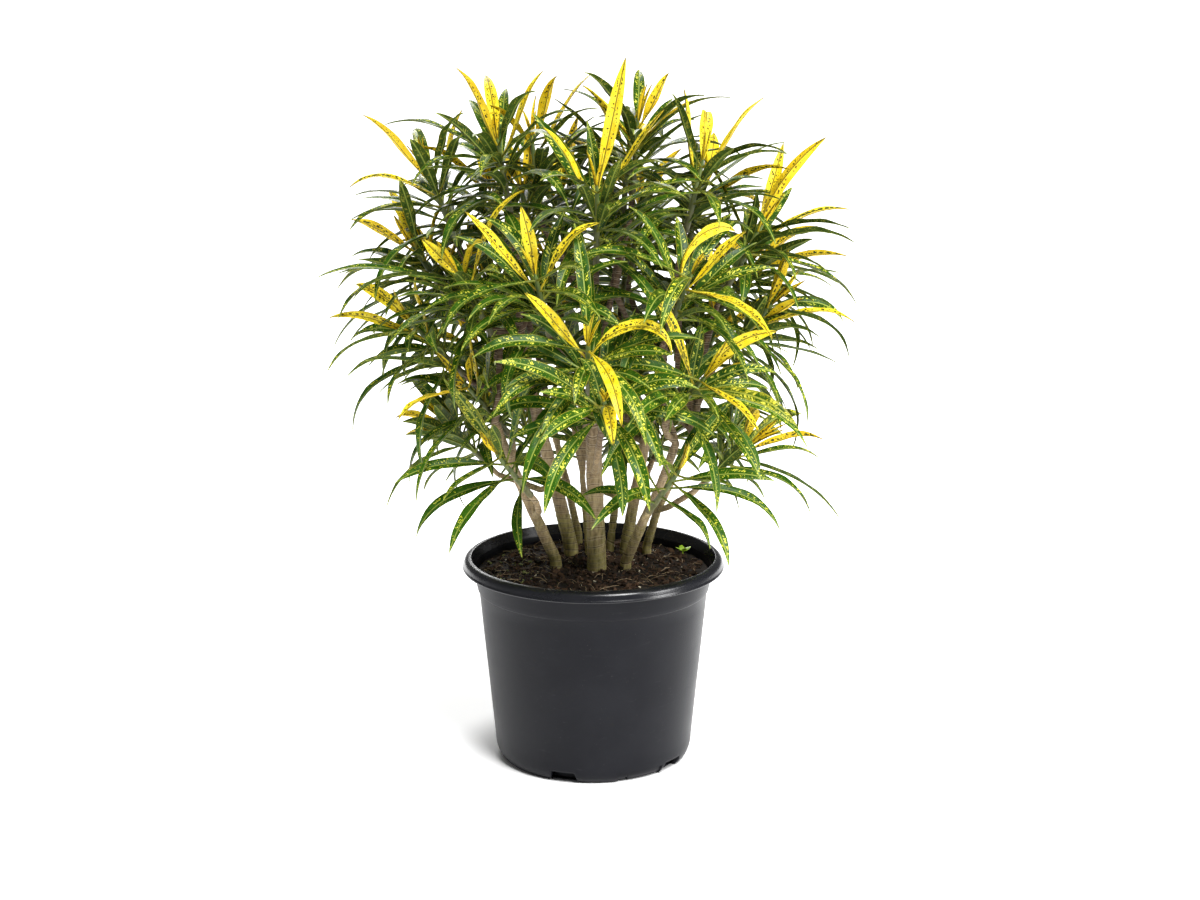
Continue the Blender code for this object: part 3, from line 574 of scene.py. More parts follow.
print("loose fibres:", build_fibres())

# %% [markdown]
# ## The woody stems
# Croton wood is olive near the soil and grey-brown above, ringed all the way up by the thin
# scars that old leaves leave. The frame's stems are tubes with few sides. A voxel remesh turns
# each one, with its branches, into one even skin, which smooths into round wood, and then every
# point moves out or in a little to make rings and lumps.

# %% Bark
def bark_finish():
    f = Finish("bark")
    place = f.place()
    height = f.split(place)[2]
    ring = f.math("ABSOLUTE", f.math("SINE", f.math("MULTIPLY", f.number("ring"), math.pi)))
    scar = f.math("MULTIPLY", f.steps(ring, 0.24, 0.05), f.number("ring_depth"))
    pale = f.math("MULTIPLY", f.steps(ring, 0.22, 0.34), f.steps(ring, 0.62, 0.40))
    streaks = f.noise(f.vector("MULTIPLY", place, (1.0, 1.0, 0.22)), 420.0, 5.0, 0.65)
    patches = f.noise(place, 34.0, 3.0)
    wood = f.mix(f.steps(streaks, 0.30, 0.72), (0.175, 0.122, 0.062), (0.450, 0.335, 0.190))
    green = f.mix(f.steps(streaks, 0.30, 0.72), (0.165, 0.142, 0.042), (0.430, 0.365, 0.140))
    upper = f.mix(f.steps(streaks, 0.30, 0.72), (0.050, 0.030, 0.016), (0.135, 0.086, 0.048))
    low = f.math("ADD", height, f.math("MULTIPLY", f.math("SUBTRACT", patches, 0.5), 0.16))
    colour = f.mix(f.steps(low, 0.165, 0.225), green, wood)
    colour = f.mix(f.steps(low, 0.235, 0.31), colour, upper)
    tan = f.steps(f.noise(place, 95.0, 4.0, 0.6), 0.62, 0.70)
    colour = f.mix(f.math("MULTIPLY", tan, 0.5), colour, (0.33, 0.21, 0.10))
    pores = f.cells(f.vector("MULTIPLY", place, (1, 1, 1.8)), 260.0).outputs["Distance"]
    pores = f.steps(pores, 0.16, 0.08)
    colour = f.mix(f.math("MULTIPLY", pores, 0.55), colour, (0.035, 0.022, 0.012))
    colour = f.mix(f.math("MULTIPLY", pale, 0.35), colour, (0.58, 0.48, 0.33))
    colour = f.mix(f.math("MULTIPLY", scar, 0.80), colour, (0.042, 0.028, 0.016))
    f.fill(f.surface, {"base_color": colour, "roughness": f.steps(streaks, 0.3, 0.7, 0.62, 0.82),
                       "specular_ior_level": 0.35})
    depth = f.math("ADD", f.math("MULTIPLY", pores, 0.5), f.math("MULTIPLY", scar, 1.2))
    f.bump(f.math("SUBTRACT", streaks, depth), 0.40, 0.0008)
    return f.material


bark = bark_finish()
print("nodes in the bark:", len(bark.node_tree.nodes))

# %% [markdown]
# The stems are remeshed at about a millimetre, fine enough for the rings that leaf scars leave.
# The number ring counts the scars up the stem, so the finish draws its lines in the same places
# as the mesh has its ridges.

# %% Stems
VOXEL = 0.0011


def welded(node):
    """Corner points and faces of a solid of the frame, with doubled corners joined."""
    mesh = nodes[node].data
    corners = np.array([v.co for v in mesh.vertices], float)
    _, first, number = np.unique(np.round(corners, 6), axis=0, return_index=True,
                                 return_inverse=True)
    number = number.ravel()
    return corners[first], [tuple(int(number[i]) for i in p.vertices) for p in mesh.polygons]


def build_stem(node):
    corners, faces = welded(node)
    mesh = bpy.data.meshes.new(node + "_plain")
    mesh.from_pydata([tuple(p) for p in corners], [], faces)
    plain = bpy.data.objects.new(node + "_plain", mesh)
    bpy.context.scene.collection.objects.link(plain)
    skin = plain.modifiers.new("skin", "REMESH")
    skin.mode, skin.voxel_size = "VOXEL", VOXEL
    even = plain.modifiers.new("even", "SMOOTH")
    even.factor, even.iterations = 0.5, 7
    seen = plain.evaluated_get(bpy.context.evaluated_depsgraph_get())
    wood = bpy.data.meshes.new_from_object(seen)
    bpy.data.objects.remove(plain)
    count = len(wood.vertices)
    points = np.zeros(count * 3, np.float32)
    normals = np.zeros(count * 3, np.float32)
    wood.vertices.foreach_get("co", points)
    wood.vertices.foreach_get("normal", normals)
    points, normals = points.reshape(-1, 3), normals.reshape(-1, 3)
    own = float(sum(corners[0])) * 50
    wander = smooth_noise(points, 26, own)
    lumps = smooth_noise(points, 90, own)
    phase = points[:, 2] / 0.0052 + wander * 2.2 + points[:, 0] * 12
    ring = np.abs(np.sin(np.pi * phase)) ** 0.35
    depth = 0.6 + 0.4 * np.clip(lumps * 3, -1, 1)
    out = 0.00030 * (ring - 0.75) + 0.00045 * lumps + 0.00025
    points = points + normals * out[:, None]
    faces = [tuple(p.vertices) for p in wood.polygons]
    bpy.data.meshes.remove(wood)
    piece = add_piece(node.replace("woody", "wood"), points, faces, [bark],
                      {"ring": phase, "ring_depth": depth}, sharp=80)
    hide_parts(node)
    return count


made = [build_stem(n) for n in sorted(nodes) if n.startswith("woody_stem")]
print("stems:", len(made), "points:", sum(made))

# %% [markdown]
# ## Reading the leaves
# In the frame a leaf is a thin three-sided blade: its tip is a corner where only three edges
# meet, and two rings of three corners lead from there back to its four root corners on the green
# stem. Walking back from each tip finds every leaf, whichever way it points.

# %% Find every leaf
SHORTEST_TIP = 0.009


def unit(v):
    return v / max(1e-9, np.linalg.norm(v))


def keel_last(points, ring):
    """The three corners as left, right, keel: the keel lies between the other two."""
    def spread(k):
        return sum(np.linalg.norm(points[k] - points[m]) for m in ring)
    keel = min(ring, key=spread)
    left, right = [k for k in ring if k != keel]
    return left, right, keel


def read_shoot(node):
    points, faces = welded(node)
    near = [set() for _ in points]
    for face in faces:
        for a, b in zip(face, face[1:] + face[:1]):
            near[a].add(b)
            near[b].add(a)
    leaves, used = [], set()
    for tip, ring in enumerate(near):
        if len(ring) != 3 or min(np.linalg.norm(points[tip] - points[k]) for k in ring) < SHORTEST_TIP:
            continue
        outer = set(ring)
        inner = set().union(*(near[k] for k in outer)) - outer - {tip}
        root = set().union(*(near[k] for k in inner)) - inner - outer
        used |= {tip} | outer | inner
        stations = []
        for ring_of in (inner, outer):
            left, right, keel = keel_last(points, sorted(ring_of))
            middle = (points[left] + points[right]) / 2
            stations.append({"middle": middle, "side": unit(points[right] - points[left]),
                             "width": np.linalg.norm(points[right] - points[left]),
                             "upper": unit(middle - points[keel])})
        if stations[0]["side"].dot(stations[1]["side"]) < 0:
            stations[1]["side"] = -stations[1]["side"]
        leaves.append({"root": np.mean([points[k] for k in root], axis=0), "tip": points[tip],
                       "stations": stations})
    stem = np.array([p for k, p in enumerate(points) if k not in used])
    centre = stem.mean(axis=0)
    axis = np.linalg.svd(stem - centre)[2][0]
    along = (stem - centre) @ axis
    if (along > along.max() - 0.0008).sum() > (along < along.min() + 0.0008).sum():
        axis, along = -axis, -along
    foot = centre + axis * along.min()
    for leaf in leaves:
        leaf["height"] = float((leaf["root"] - foot) @ axis)
    leaves.sort(key=lambda leaf: -leaf["height"])
    return {"leaves": leaves, "foot": foot, "axis": axis, "length": float(along.max() - along.min())}


shoots = {n: read_shoot(n) for n in sorted(nodes) if n.startswith("shoot_")}
print("shoots:", len(shoots), "leaves:", sum(len(s["leaves"]) for s in shoots.values()))

# %% [markdown]
# ## Leaf colours
# A croton leaf opens yellow, with a thin dark midrib and rows of dark dots beside it. As it ages
# the green spreads until only yellow specks are left. So one material does all ages. The number
# leaf_age runs from 0, just opened, to 1, old. The pattern is drawn in the leaf's own
# millimetres, across and along, so it lies the same way on every leaf, and each leaf has its own
# slice of it.

# %% Leaf finish
def leaf_finish(name, under):
    f = Finish(name)
    place = f.number("leaf_mm", "Vector")
    blade = f.number("leaf_share", "Vector")
    age = f.number("leaf_age")
    tone = f.number("leaf_tone")
    across = f.math("ABSOLUTE", f.split(place)[0])
    share = f.math("ABSOLUTE", f.split(blade)[0])
    wobble = f.add("TexNoise", {"vector": place, "scale": 0.55, "detail": 2.0}).outputs[1]
    wobble = f.vector("SCALE", f.vector("SUBTRACT", wobble, (0.5, 0.5, 0.5)), scale=1.5)
    bent = f.vector("ADD", place, wobble)
    slant = f.add("CombineXYZ", {1: f.math("MULTIPLY", across, -0.9)}).outputs[0]
    veined = f.vector("ADD", bent, slant)
    wide = f.cells(f.vector("MULTIPLY", bent, (0.50, 0.36, 1.0)), 1.0)
    dashes = f.cells(f.vector("MULTIPLY", veined, (0.40, 0.56, 1.0)), 1.0)
    small = f.cells(f.vector("MULTIPLY", bent, (1.00, 0.72, 1.0)), 1.0)
    clumps = f.steps(f.noise(place, 0.11, 2.0), 0.36, 0.62)
    # green leaves: yellow specks, more of them on younger leaves and half way to the margin
    row = f.steps(f.math("ABSOLUTE", f.math("SUBTRACT", share, 0.48)), 0.14, 0.46, 1.0, 0.22)
    reach = f.math("MULTIPLY", f.steps(age, 0.45, 1.0, 0.43, 0.27, False), row)
    reach = f.math("MULTIPLY", reach, f.steps(clumps, 0.0, 1.0, 0.55, 1.14))
    fine_reach = f.math("MULTIPLY", reach, 0.62)
    specks = f.steps(f.math("SUBTRACT", dashes.outputs["Distance"], reach), 0.05, -0.06)
    fine = f.steps(f.math("SUBTRACT", small.outputs["Distance"], fine_reach), 0.05, -0.07)
    yellow_on_green = f.math("MAXIMUM", specks, f.math("MULTIPLY", fine, 0.85))
    # yellow leaves: dark dots beside the midrib, growing with age
    beside = f.math("MULTIPLY", f.steps(share, 0.10, 0.22), f.steps(share, 0.35, 0.90, 1.0, 0.40))
    dot_reach = f.math("MULTIPLY", f.steps(age, 0.0, 0.42, 0.31, 0.72, False), beside)
    dots = f.steps(f.math("SUBTRACT", wide.outputs["Distance"], dot_reach), 0.04, -0.05)
    dot_reach = f.math("MULTIPLY", dot_reach, 0.7)
    small_dots = f.steps(f.math("SUBTRACT", small.outputs["Distance"], dot_reach), 0.02, -0.08)
    dots = f.math("MAXIMUM", dots, small_dots)
    grown = f.steps(age, 0.36, 0.50)
    green_share = f.mix(grown, dots, f.math("SUBTRACT", 1.0, yellow_on_green))
    # the colours themselves
    cloud = f.noise(place, 0.16, 3.0)
    gold = f.mix(f.steps(cloud, 0.35, 0.65), (0.80, 0.585, 0.012), (0.88, 0.72, 0.045))
    lime = f.mix(f.steps(cloud, 0.35, 0.65), (0.56, 0.56, 0.030), (0.74, 0.72, 0.10))
    deep = f.mix(f.steps(cloud, 0.30, 0.70), (0.011, 0.039, 0.0025), (0.027, 0.078, 0.0035))
    fresh = f.mix(f.steps(cloud, 0.30, 0.70), (0.022, 0.098, 0.0025), (0.050, 0.150, 0.004))
    if under:
        gold = f.mix(f.steps(cloud, 0.35, 0.65), (0.80, 0.53, 0.010), (0.86, 0.63, 0.028))
        lime = f.mix(f.steps(cloud, 0.35, 0.65), (0.26, 0.26, 0.030), (0.36, 0.34, 0.05))
        deep = f.mix(f.steps(cloud, 0.30, 0.70), (0.028, 0.054, 0.006), (0.052, 0.092, 0.011))
        fresh = f.mix(f.steps(cloud, 0.30, 0.70), (0.045, 0.100, 0.012), (0.075, 0.145, 0.022))
    green = f.mix(tone, deep, fresh)
    dark_dot = f.mix(f.steps(age, 0.0, 0.4), (0.060, 0.050, 0.006), (0.050, 0.075, 0.008))
    yellow = f.mix(grown, gold, lime)
    dark = f.mix(grown, dark_dot, green)
    colour = f.mix(green_share, yellow, dark)
    # midrib: dark on a yellow leaf, pale on a green one; a pale hairline along the margin
    rib = f.steps(across, 0.62, 0.30)
    rib_colour = f.mix(grown, (0.085, 0.070, 0.008), (0.36, 0.42, 0.075))
    colour = f.mix(f.math("MULTIPLY", rib, f.steps(grown, 0.0, 1.0, 0.85, 0.65)), colour, rib_colour)
    edge = f.math("MULTIPLY", f.steps(share, 0.90, 0.97), f.steps(age, 0.4, 1.0, 0.70, 0.26))
    colour = f.mix(edge, colour, (0.50, 0.42, 0.04))
    stalk = f.steps(f.split(blade)[1], 0.11, 0.05)
    stalk_colour = f.mix(age, (0.45, 0.34, 0.02), (0.12, 0.16, 0.03))
    colour = f.mix(f.math("MULTIPLY", stalk, 0.8), colour, stalk_colour)
    smoothest = 0.48 if under else 0.31
    rough = f.steps(cloud, 0.3, 0.7, smoothest, smoothest + 0.10)
    f.fill(f.surface, {"base_color": colour, "roughness": rough, "specular_ior_level": 0.17})
    veins = f.math("SINE", f.math("MULTIPLY", f.math("SUBTRACT", f.split(place)[1],
                                                     f.math("MULTIPLY", across, 1.1)), 2.4))
    height = f.math("ADD", f.math("MULTIPLY", veins, 0.25), f.noise(place, 1.1, 3.0))
    f.bump(height, 0.22, 0.0006)
    return f.material


leaf_top = leaf_finish("leaf_top", False)
leaf_under = leaf_finish("leaf_under", True)


def green_stem_finish():
    f = Finish("green_stem")
    place = f.place()
    streaks = f.noise(f.vector("MULTIPLY", place, (1, 1, 0.3)), 300.0, 3.0)
    old = f.mix(f.steps(streaks, 0.3, 0.7), (0.070, 0.070, 0.026), (0.140, 0.125, 0.055))
    new = f.mix(f.steps(streaks, 0.3, 0.7), (0.060, 0.110, 0.020), (0.140, 0.190, 0.040))
    colour = f.mix(f.number("up_stem"), old, new)
    f.fill(f.surface, {"base_color": colour, "roughness": 0.5})
    f.bump(streaks, 0.3, 0.0006)
    return f.material


green_stem = green_stem_finish()
print("nodes in the leaf finish:", len(leaf_top.node_tree.nodes))

# %% [markdown]
# ## Leaf blades
# Each blade follows a smooth curve through its root, its two rings and its tip. Round that curve
# the blade is built in cross-sections: a narrow stalk that widens into a lance shape, folded a
# little along the midrib, with a raised rib underneath and a slightly wavy margin. Upper and
# lower faces are separate skins about half a millimetre apart, so that each has its own finish.

# %% Blade shape
ACROSS = np.array([-1.0, -0.76, -0.44, -0.13, 0.0, 0.13, 0.44, 0.76, 1.0])
LENGTHS = np.array([0.0, 0.04, 0.08, 0.12, 0.17, 0.23, 0.30, 0.37, 0.44, 0.51, 0.58, 0.65, 0.72,
                    0.78, 0.84, 0.89, 0.93, 0.97, 1.0])
SHARE_AT = [0.0, 0.07, 0.12, 0.18, 0.26, 0.36, 0.48, 0.58, 0.68, 0.78, 0.86, 0.93, 0.97, 1.0]
SHARE = [0.20, 0.17, 0.24, 0.44, 0.70, 0.90, 1.0, 0.99, 0.92, 0.76, 0.56, 0.31, 0.16, 0.015]


KNOTS_AT = (0.0, 0.35, 0.70, 1.0)      # shares of a leaf's length at its root, rings and tip


def through(knots, values, t):
    """The cubic curve through four points."""
    out = 0
    for i, (knot, value) in enumerate(zip(knots, values)):
        weight = np.ones_like(t)
        for j, other in enumerate(knots):
            if j != i:
                weight = weight * (t - other) / (knot - other)
        out = out + weight[:, None] * value
    return out


def blade(leaf, width, fold, wave, curl, sway, seed):
    """Points, faces, place in millimetres, place in shares and face finishes of one leaf."""
    t = LENGTHS
    first, second = leaf["stations"]
    knots = (leaf["root"], first["middle"], second["middle"], leaf["tip"])
    line = through(KNOTS_AT, knots, t)
    ramp = np.clip((t - 0.35) / 0.35, 0, 1)[:, None]
    upper_guess = first["upper"] * (1 - ramp) + second["upper"] * ramp
    side_guess = first["side"] * (1 - ramp) + second["side"] * ramp
    bend = np.clip((t - 0.55) / 0.45, 0, 1)[:, None] ** 2
    line = line - upper_guess * bend * curl + side_guess * np.sin(t * np.pi)[:, None] * sway
    along = np.gradient(line, t, axis=0)
    along /= np.linalg.norm(along, axis=1)[:, None]
    side = side_guess - along * (side_guess * along).sum(1)[:, None]
    side /= np.linalg.norm(side, axis=1)[:, None]
    upper = np.cross(side, along)
    if (upper * upper_guess).sum() < 0:
        upper = -upper
    reach = np.concatenate([[0], np.cumsum(np.linalg.norm(np.diff(line, axis=0), axis=1))])
    half = width / 2 * np.interp(t, SHARE_AT, SHARE)
    stalk = np.clip((0.13 - t) / 0.06, 0, 1)[:, None]
    u = ACROSS[None, :]
    rise = half[:, None] * fold * np.abs(u) ** 1.15 + 0.07 * half[:, None] * np.sin(np.pi * np.abs(u))
    ripple = wave * np.sin(reach[:, None] / 0.0145 * np.pi + seed * 9 + np.sign(u) * 0.9) * np.abs(u) ** 3
    ripple = ripple * np.clip(half[:, None] / (width / 2), 0, 1)
    rise = (rise + ripple) * (1 - stalk)
    rib = np.exp(-(u / 0.16) ** 2)
    thin = (0.00042 + rib * np.interp(t, [0, 0.15, 1], [0.0016, 0.0009, 0.0002])[:, None])
    thin = thin * np.sqrt(np.clip(1 - (u * 0.97) ** 8, 0.05, 1))
    round_stalk = 0.0017 * np.sqrt(np.clip(1 - u ** 2, 0, 1))
    thin = thin * (1 - stalk) + round_stalk * stalk
    top = line[:, None] + side[:, None] * (half[:, None] * u)[..., None] + upper[:, None] * rise[..., None]
    top = top + upper[:, None] * (round_stalk * stalk * 0.4)[..., None]
    low = top - upper[:, None] * thin[..., None]
    ring = np.concatenate([top, low[:, -2:0:-1]], axis=1)
    around = ring.shape[1]
    points = ring.reshape(-1, 3)
    u_ring = np.concatenate([ACROSS, ACROSS[-2:0:-1]])
    mm = np.stack([half[:, None] * u_ring[None] * 1000, np.repeat(reach[:, None] * 1000, around, 1),
                   np.full((len(t), around), seed * 40.0)], axis=-1).reshape(-1, 3)
    share = np.stack([np.repeat(u_ring[None], len(t), 0), np.repeat(t[:, None], around, 1),
                      np.zeros((len(t), around))], axis=-1).reshape(-1, 3)
    turned = np.dot(np.cross(side[5], along[5]), upper[5]) > 0
    faces, finish = [], []
    for r in range(len(t) - 1):
        for i in range(around):
            j = (i + 1) % around
            a, b = r * around, (r + 1) * around
            quad = (a + i, a + j, b + j, b + i)
            faces.append(quad if turned else quad[::-1])
            finish.append(0 if i < len(ACROSS) - 1 else 1)
    caps = [tuple(reversed(range(around))), tuple((len(t) - 1) * around + i for i in range(around))]
    faces += caps if turned else [cap[::-1] for cap in caps]
    finish += [1, 1]
    return points, faces, mm, share, finish


# %% [markdown]
# The whorls that face forward have leaves of known ages. Each entry is a leaf's heading and pitch
# in degrees and its age, and the leaf that points most nearly that way takes it. The rest go by
# rank: the top ones are yellow, and the age rises down the stem.

# %% Ages of the leaves
AGES = {
    "shoot_left_shoulder": [(0, 82, 0.10), (180, 60, 0.0), (185, 36, 0.30), (200, 14, 0.9)],
    "shoot_left_top": [(190, 72, 0.0), (350, 74, 0.10), (180, 58, 0.8), (0, 54, 0.85)],
    "shoot_front_top": [(335, 80, 0.02), (205, 66, 0.0), (350, 62, 0.30), (175, 64, 0.75),
                        (120, 82, 0.6)],
    "shoot_middle_top": [(20, 80, 0.08), (0, 50, 0.05), (175, 56, 0.25)],
    "shoot_right_top": [(120, 84, 0.12), (0, 62, 0.04), (215, 72, 0.6), (10, 45, 0.95)],
    "shoot_right_shoulder": [(185, 78, 0.44), (350, 66, 0.05), (30, 74, 0.08), (300, 70, 0.55),
                             (0, 40, 0.32)],
    "shoot_right_side": [(340, 70, 0.12), (330, 45, 0.06), (0, 26, 0.16), (350, 4, 0.9),
                         (20, 10, 0.95)],
    "shoot_right_front": [(340, 50, 0.04), (300, 75, 0.30), (190, 30, 0.7), (330, 4, 0.45)],
    "shoot_front_high_right": [(210, 84, 0.0), (345, 56, 0.06), (190, 34, 0.75), (0, 34, 0.9),
                               (250, 20, 0.52)],
    "shoot_front_middle": [(195, 60, 0.06), (345, 58, 0.18), (190, 22, 0.8), (215, 6, 0.52),
                           (180, 35, 0.8),
                           (0, 30, 0.75)],
    "shoot_front_high_left": [(188, 56, 0.10), (240, 72, 0.0), (350, 75, 0.24), (190, 30, 0.85),
                              (200, 2, 0.52)],
    "shoot_left_high": [(205, 62, 0.05), (180, 25, 0.85), (190, 20, 0.95)],
    "shoot_left_side": [(180, 38, 0.2), (30, 82, 0.12)],
    "shoot_left_low": [(190, 65, 0.24), (182, 32, 0.12), (186, 2, 0.8)],
    "shoot_left_inner": [(200, 78, 0.18), (170, 30, 0.85)],
    "shoot_left_bottom": [(200, 40, 0.08), (160, 20, 0.3)],
    "shoot_right_bottom": [(350, 30, 0.22), (10, 20, 0.5)],
    "shoot_front_young": [(275, 20, 0.16)],
    "shoot_upper_inner": [(60, 80, 0.12), (190, 60, 0.3)],
}
YELLOW_ON_TOP = {"shoot_front_low_left": 0, "shoot_front_low_right": 0, "shoot_front_young": 1,
                 "shoot_left_bottom": 2, "shoot_right_bottom": 2}


def leaf_ages(name, leaves, pick):
    ages = [None] * len(leaves)
    for heading, pitch, age in AGES.get(name, []):
        h, p = math.radians(heading), math.radians(pitch)
        aim = np.array([math.cos(h) * math.cos(p), math.sin(h) * math.cos(p), math.sin(p)])
        free = [k for k in range(min(9, len(leaves))) if ages[k] is None]
        best = max(free, key=lambda k: aim @ unit(leaves[k]["stations"][0]["middle"] - leaves[k]["root"]))
        ages[best] = age
    yellow = YELLOW_ON_TOP.get(name, 3)
    known = sum(1 for age in ages if age is not None and age < 0.4)
    for k in range(len(leaves)):
        if ages[k] is not None:
            continue
        if known < yellow:
            ages[k] = pick.uniform(0.0, 0.3)
            known += 1
        else:
            rank = k / max(1, len(leaves) - 1)
            ages[k] = min(1.0, max(0.46, 0.5 + 0.5 * rank + pick.uniform(-0.14, 0.18)))
    return ages


# %% Buds
def extra_buds(shoot, pick):
    """Three small leaves still opening at the very tip of the stem."""
    buds = []
    top = shoot["foot"] + shoot["axis"] * (shoot["length"] - 0.003)
    for _ in range(3):
        size = pick.uniform(0.018, 0.040)
        turn = pick.uniform(0, 2 * math.pi)
        guide = np.array([math.cos(turn), math.sin(turn), 0.0])
        outward = unit(guide - shoot["axis"] * guide.dot(shoot["axis"]))
        aim = unit(shoot["axis"] + outward * pick.uniform(0.12, 0.32))
        side = unit(np.cross(aim, outward))
        stations = [{"middle": top + aim * size * s - outward * 0.0006, "side": side, "upper": -outward}
                    for s in (0.35, 0.70)]
        buds.append({"root": top, "tip": top + aim * size, "stations": stations, "height": 0.0})
    return buds


# %% [markdown]
# ## Leaves between the leaves
# A croton carries more leaves than the frame has solids for. Here each shoot grows some more. A
# leaf is tried at many places on the stem, and it stays where it is farthest from all the others.
# That fills the crown evenly, with less work than placing them by hand, and the spots low in
# front stay open so that the stems show.

# %% More leaves
MORE_LEAVES, PLACES_TRIED, LEAST_ROOM = 11, 24, 0.0045
FEW_MORE = {"shoot_front_low_left": 3, "shoot_front_low_right": 3, "shoot_front_young": 5}
TOP_WIDTH = 0.0125             # a sprung leaf where it is widest


def samples(leaf):
    """Six points along the outer part of a leaf."""
    first, second = leaf["stations"]
    t = np.array([0.3, 0.45, 0.6, 0.75, 0.9, 1.0])
    knots = (leaf["root"], first["middle"], second["middle"], leaf["tip"])
    return through(KNOTS_AT, knots, t)


def sprung_leaf(shoot, pick):
    """A leaf tried at a random place on the stem: it leaves sideways, then bends down."""
    axis = shoot["axis"]
    height = shoot["length"] * pick.uniform(0.12, 0.66)
    turn = pick.uniform(0, 2 * math.pi)
    guide = np.array([1.0, 0, 0]) if abs(axis[0]) < 0.8 else np.array([0, 1.0, 0])
    first_side = unit(guide - axis * guide.dot(axis))
    outward = math.cos(turn) * first_side + math.sin(turn) * np.cross(axis, first_side)
    lift = math.radians(pick.uniform(0, 60))
    heading = unit(axis * math.sin(lift) + outward * math.cos(lift))
    size = pick.uniform(0.055, 0.092)
    bend = math.radians(pick.uniform(8, 70))
    root = shoot["foot"] + axis * height + outward * 0.0018
    hinge = np.cross(heading, (0, 0, -1.0))
    hinge = unit(hinge) if np.linalg.norm(hinge) > 1e-3 else first_side
    point, line = root.copy(), [root.copy()]
    for k in range(20):
        step = Matrix.Rotation(bend * 1.5 * ((k + 0.5) / 20) ** 0.6 / 20, 3, Vector(hinge))
        heading = np.array(step @ Vector(heading))
        point = point + heading * size / 20
        line.append(point.copy())
    stations = []
    for k, share in ((7, 1.0), (14, 0.8)):
        along = unit(line[k + 1] - line[k - 1])
        face = axis * (0.3 + max(0.0, along @ outward)) - outward * (along @ axis)
        side = unit(np.cross(along, face))
        stations.append({"middle": line[k], "side": side, "upper": unit(np.cross(side, along)),
                         "width": TOP_WIDTH * share})
    return {"root": root, "tip": line[20], "stations": stations, "height": float(height)}


def clear_of_bounds(points):
    """Inside the crown's round outline, and not in front of the stems."""
    for x, y, z in points:
        if abs(x) > 0.205 or abs(y) > 0.200 or z > 0.545 or z < 0.215:
            return False
        if math.hypot(x, y) > 0.095 + (z - 0.215) * 0.95:
            return False
        if y < 0.03 and abs(x) < 0.095 and z < 0.290:
            return False
    return True


def fill_out():
    """More leaves, each in the emptiest of the places tried on its own stem."""
    pick = random.Random(5)
    taken = [samples(leaf) for shoot in shoots.values() for leaf in shoot["leaves"]]
    taken = np.concatenate(taken)
    added = 0
    for name, shoot in shoots.items():
        for _ in range(FEW_MORE.get(name, MORE_LEAVES)):
            best, room = None, LEAST_ROOM
            for _ in range(PLACES_TRIED):
                leaf = sprung_leaf(shoot, pick)
                points = samples(leaf)
                if not clear_of_bounds(points):
                    continue
                gap = np.sqrt(((points[:, None] - taken[None]) ** 2).sum(-1).min())
                if gap > room:
                    best, room = leaf, gap
            if best:
                shoot["leaves"].append(best)
                taken = np.concatenate([taken, samples(best)])
                added += 1
        shoot["leaves"].sort(key=lambda leaf: -leaf["height"])
    return added


print("leaves added between the others:", fill_out())


# %% [markdown]
# ## Growing the shoots
# Now every shoot becomes one object: its leaves, three buds at the tip and the green stem that
# carries them. Joining them keeps the scene small, and the ages and tones go along as numbers on
# the points, so that one material colours all the leaves.

# %% Build the shoots
STEM_STEPS, STEM_SIDES = 14, 10


def green_stem_rings(shoot):
    """The green stem: it thins toward the tip and swells a little here and there along its length."""
    path = [shoot["foot"] + shoot["axis"] * shoot["length"] * s / STEM_STEPS
            for s in range(STEM_STEPS + 1)]
    radii = [0.0027 - 0.0011 * s / STEM_STEPS + 0.00016 * math.cos(s * 2.3)
             for s in range(STEM_STEPS)]
    return tube(path, radii + [0.0008], STEM_SIDES)


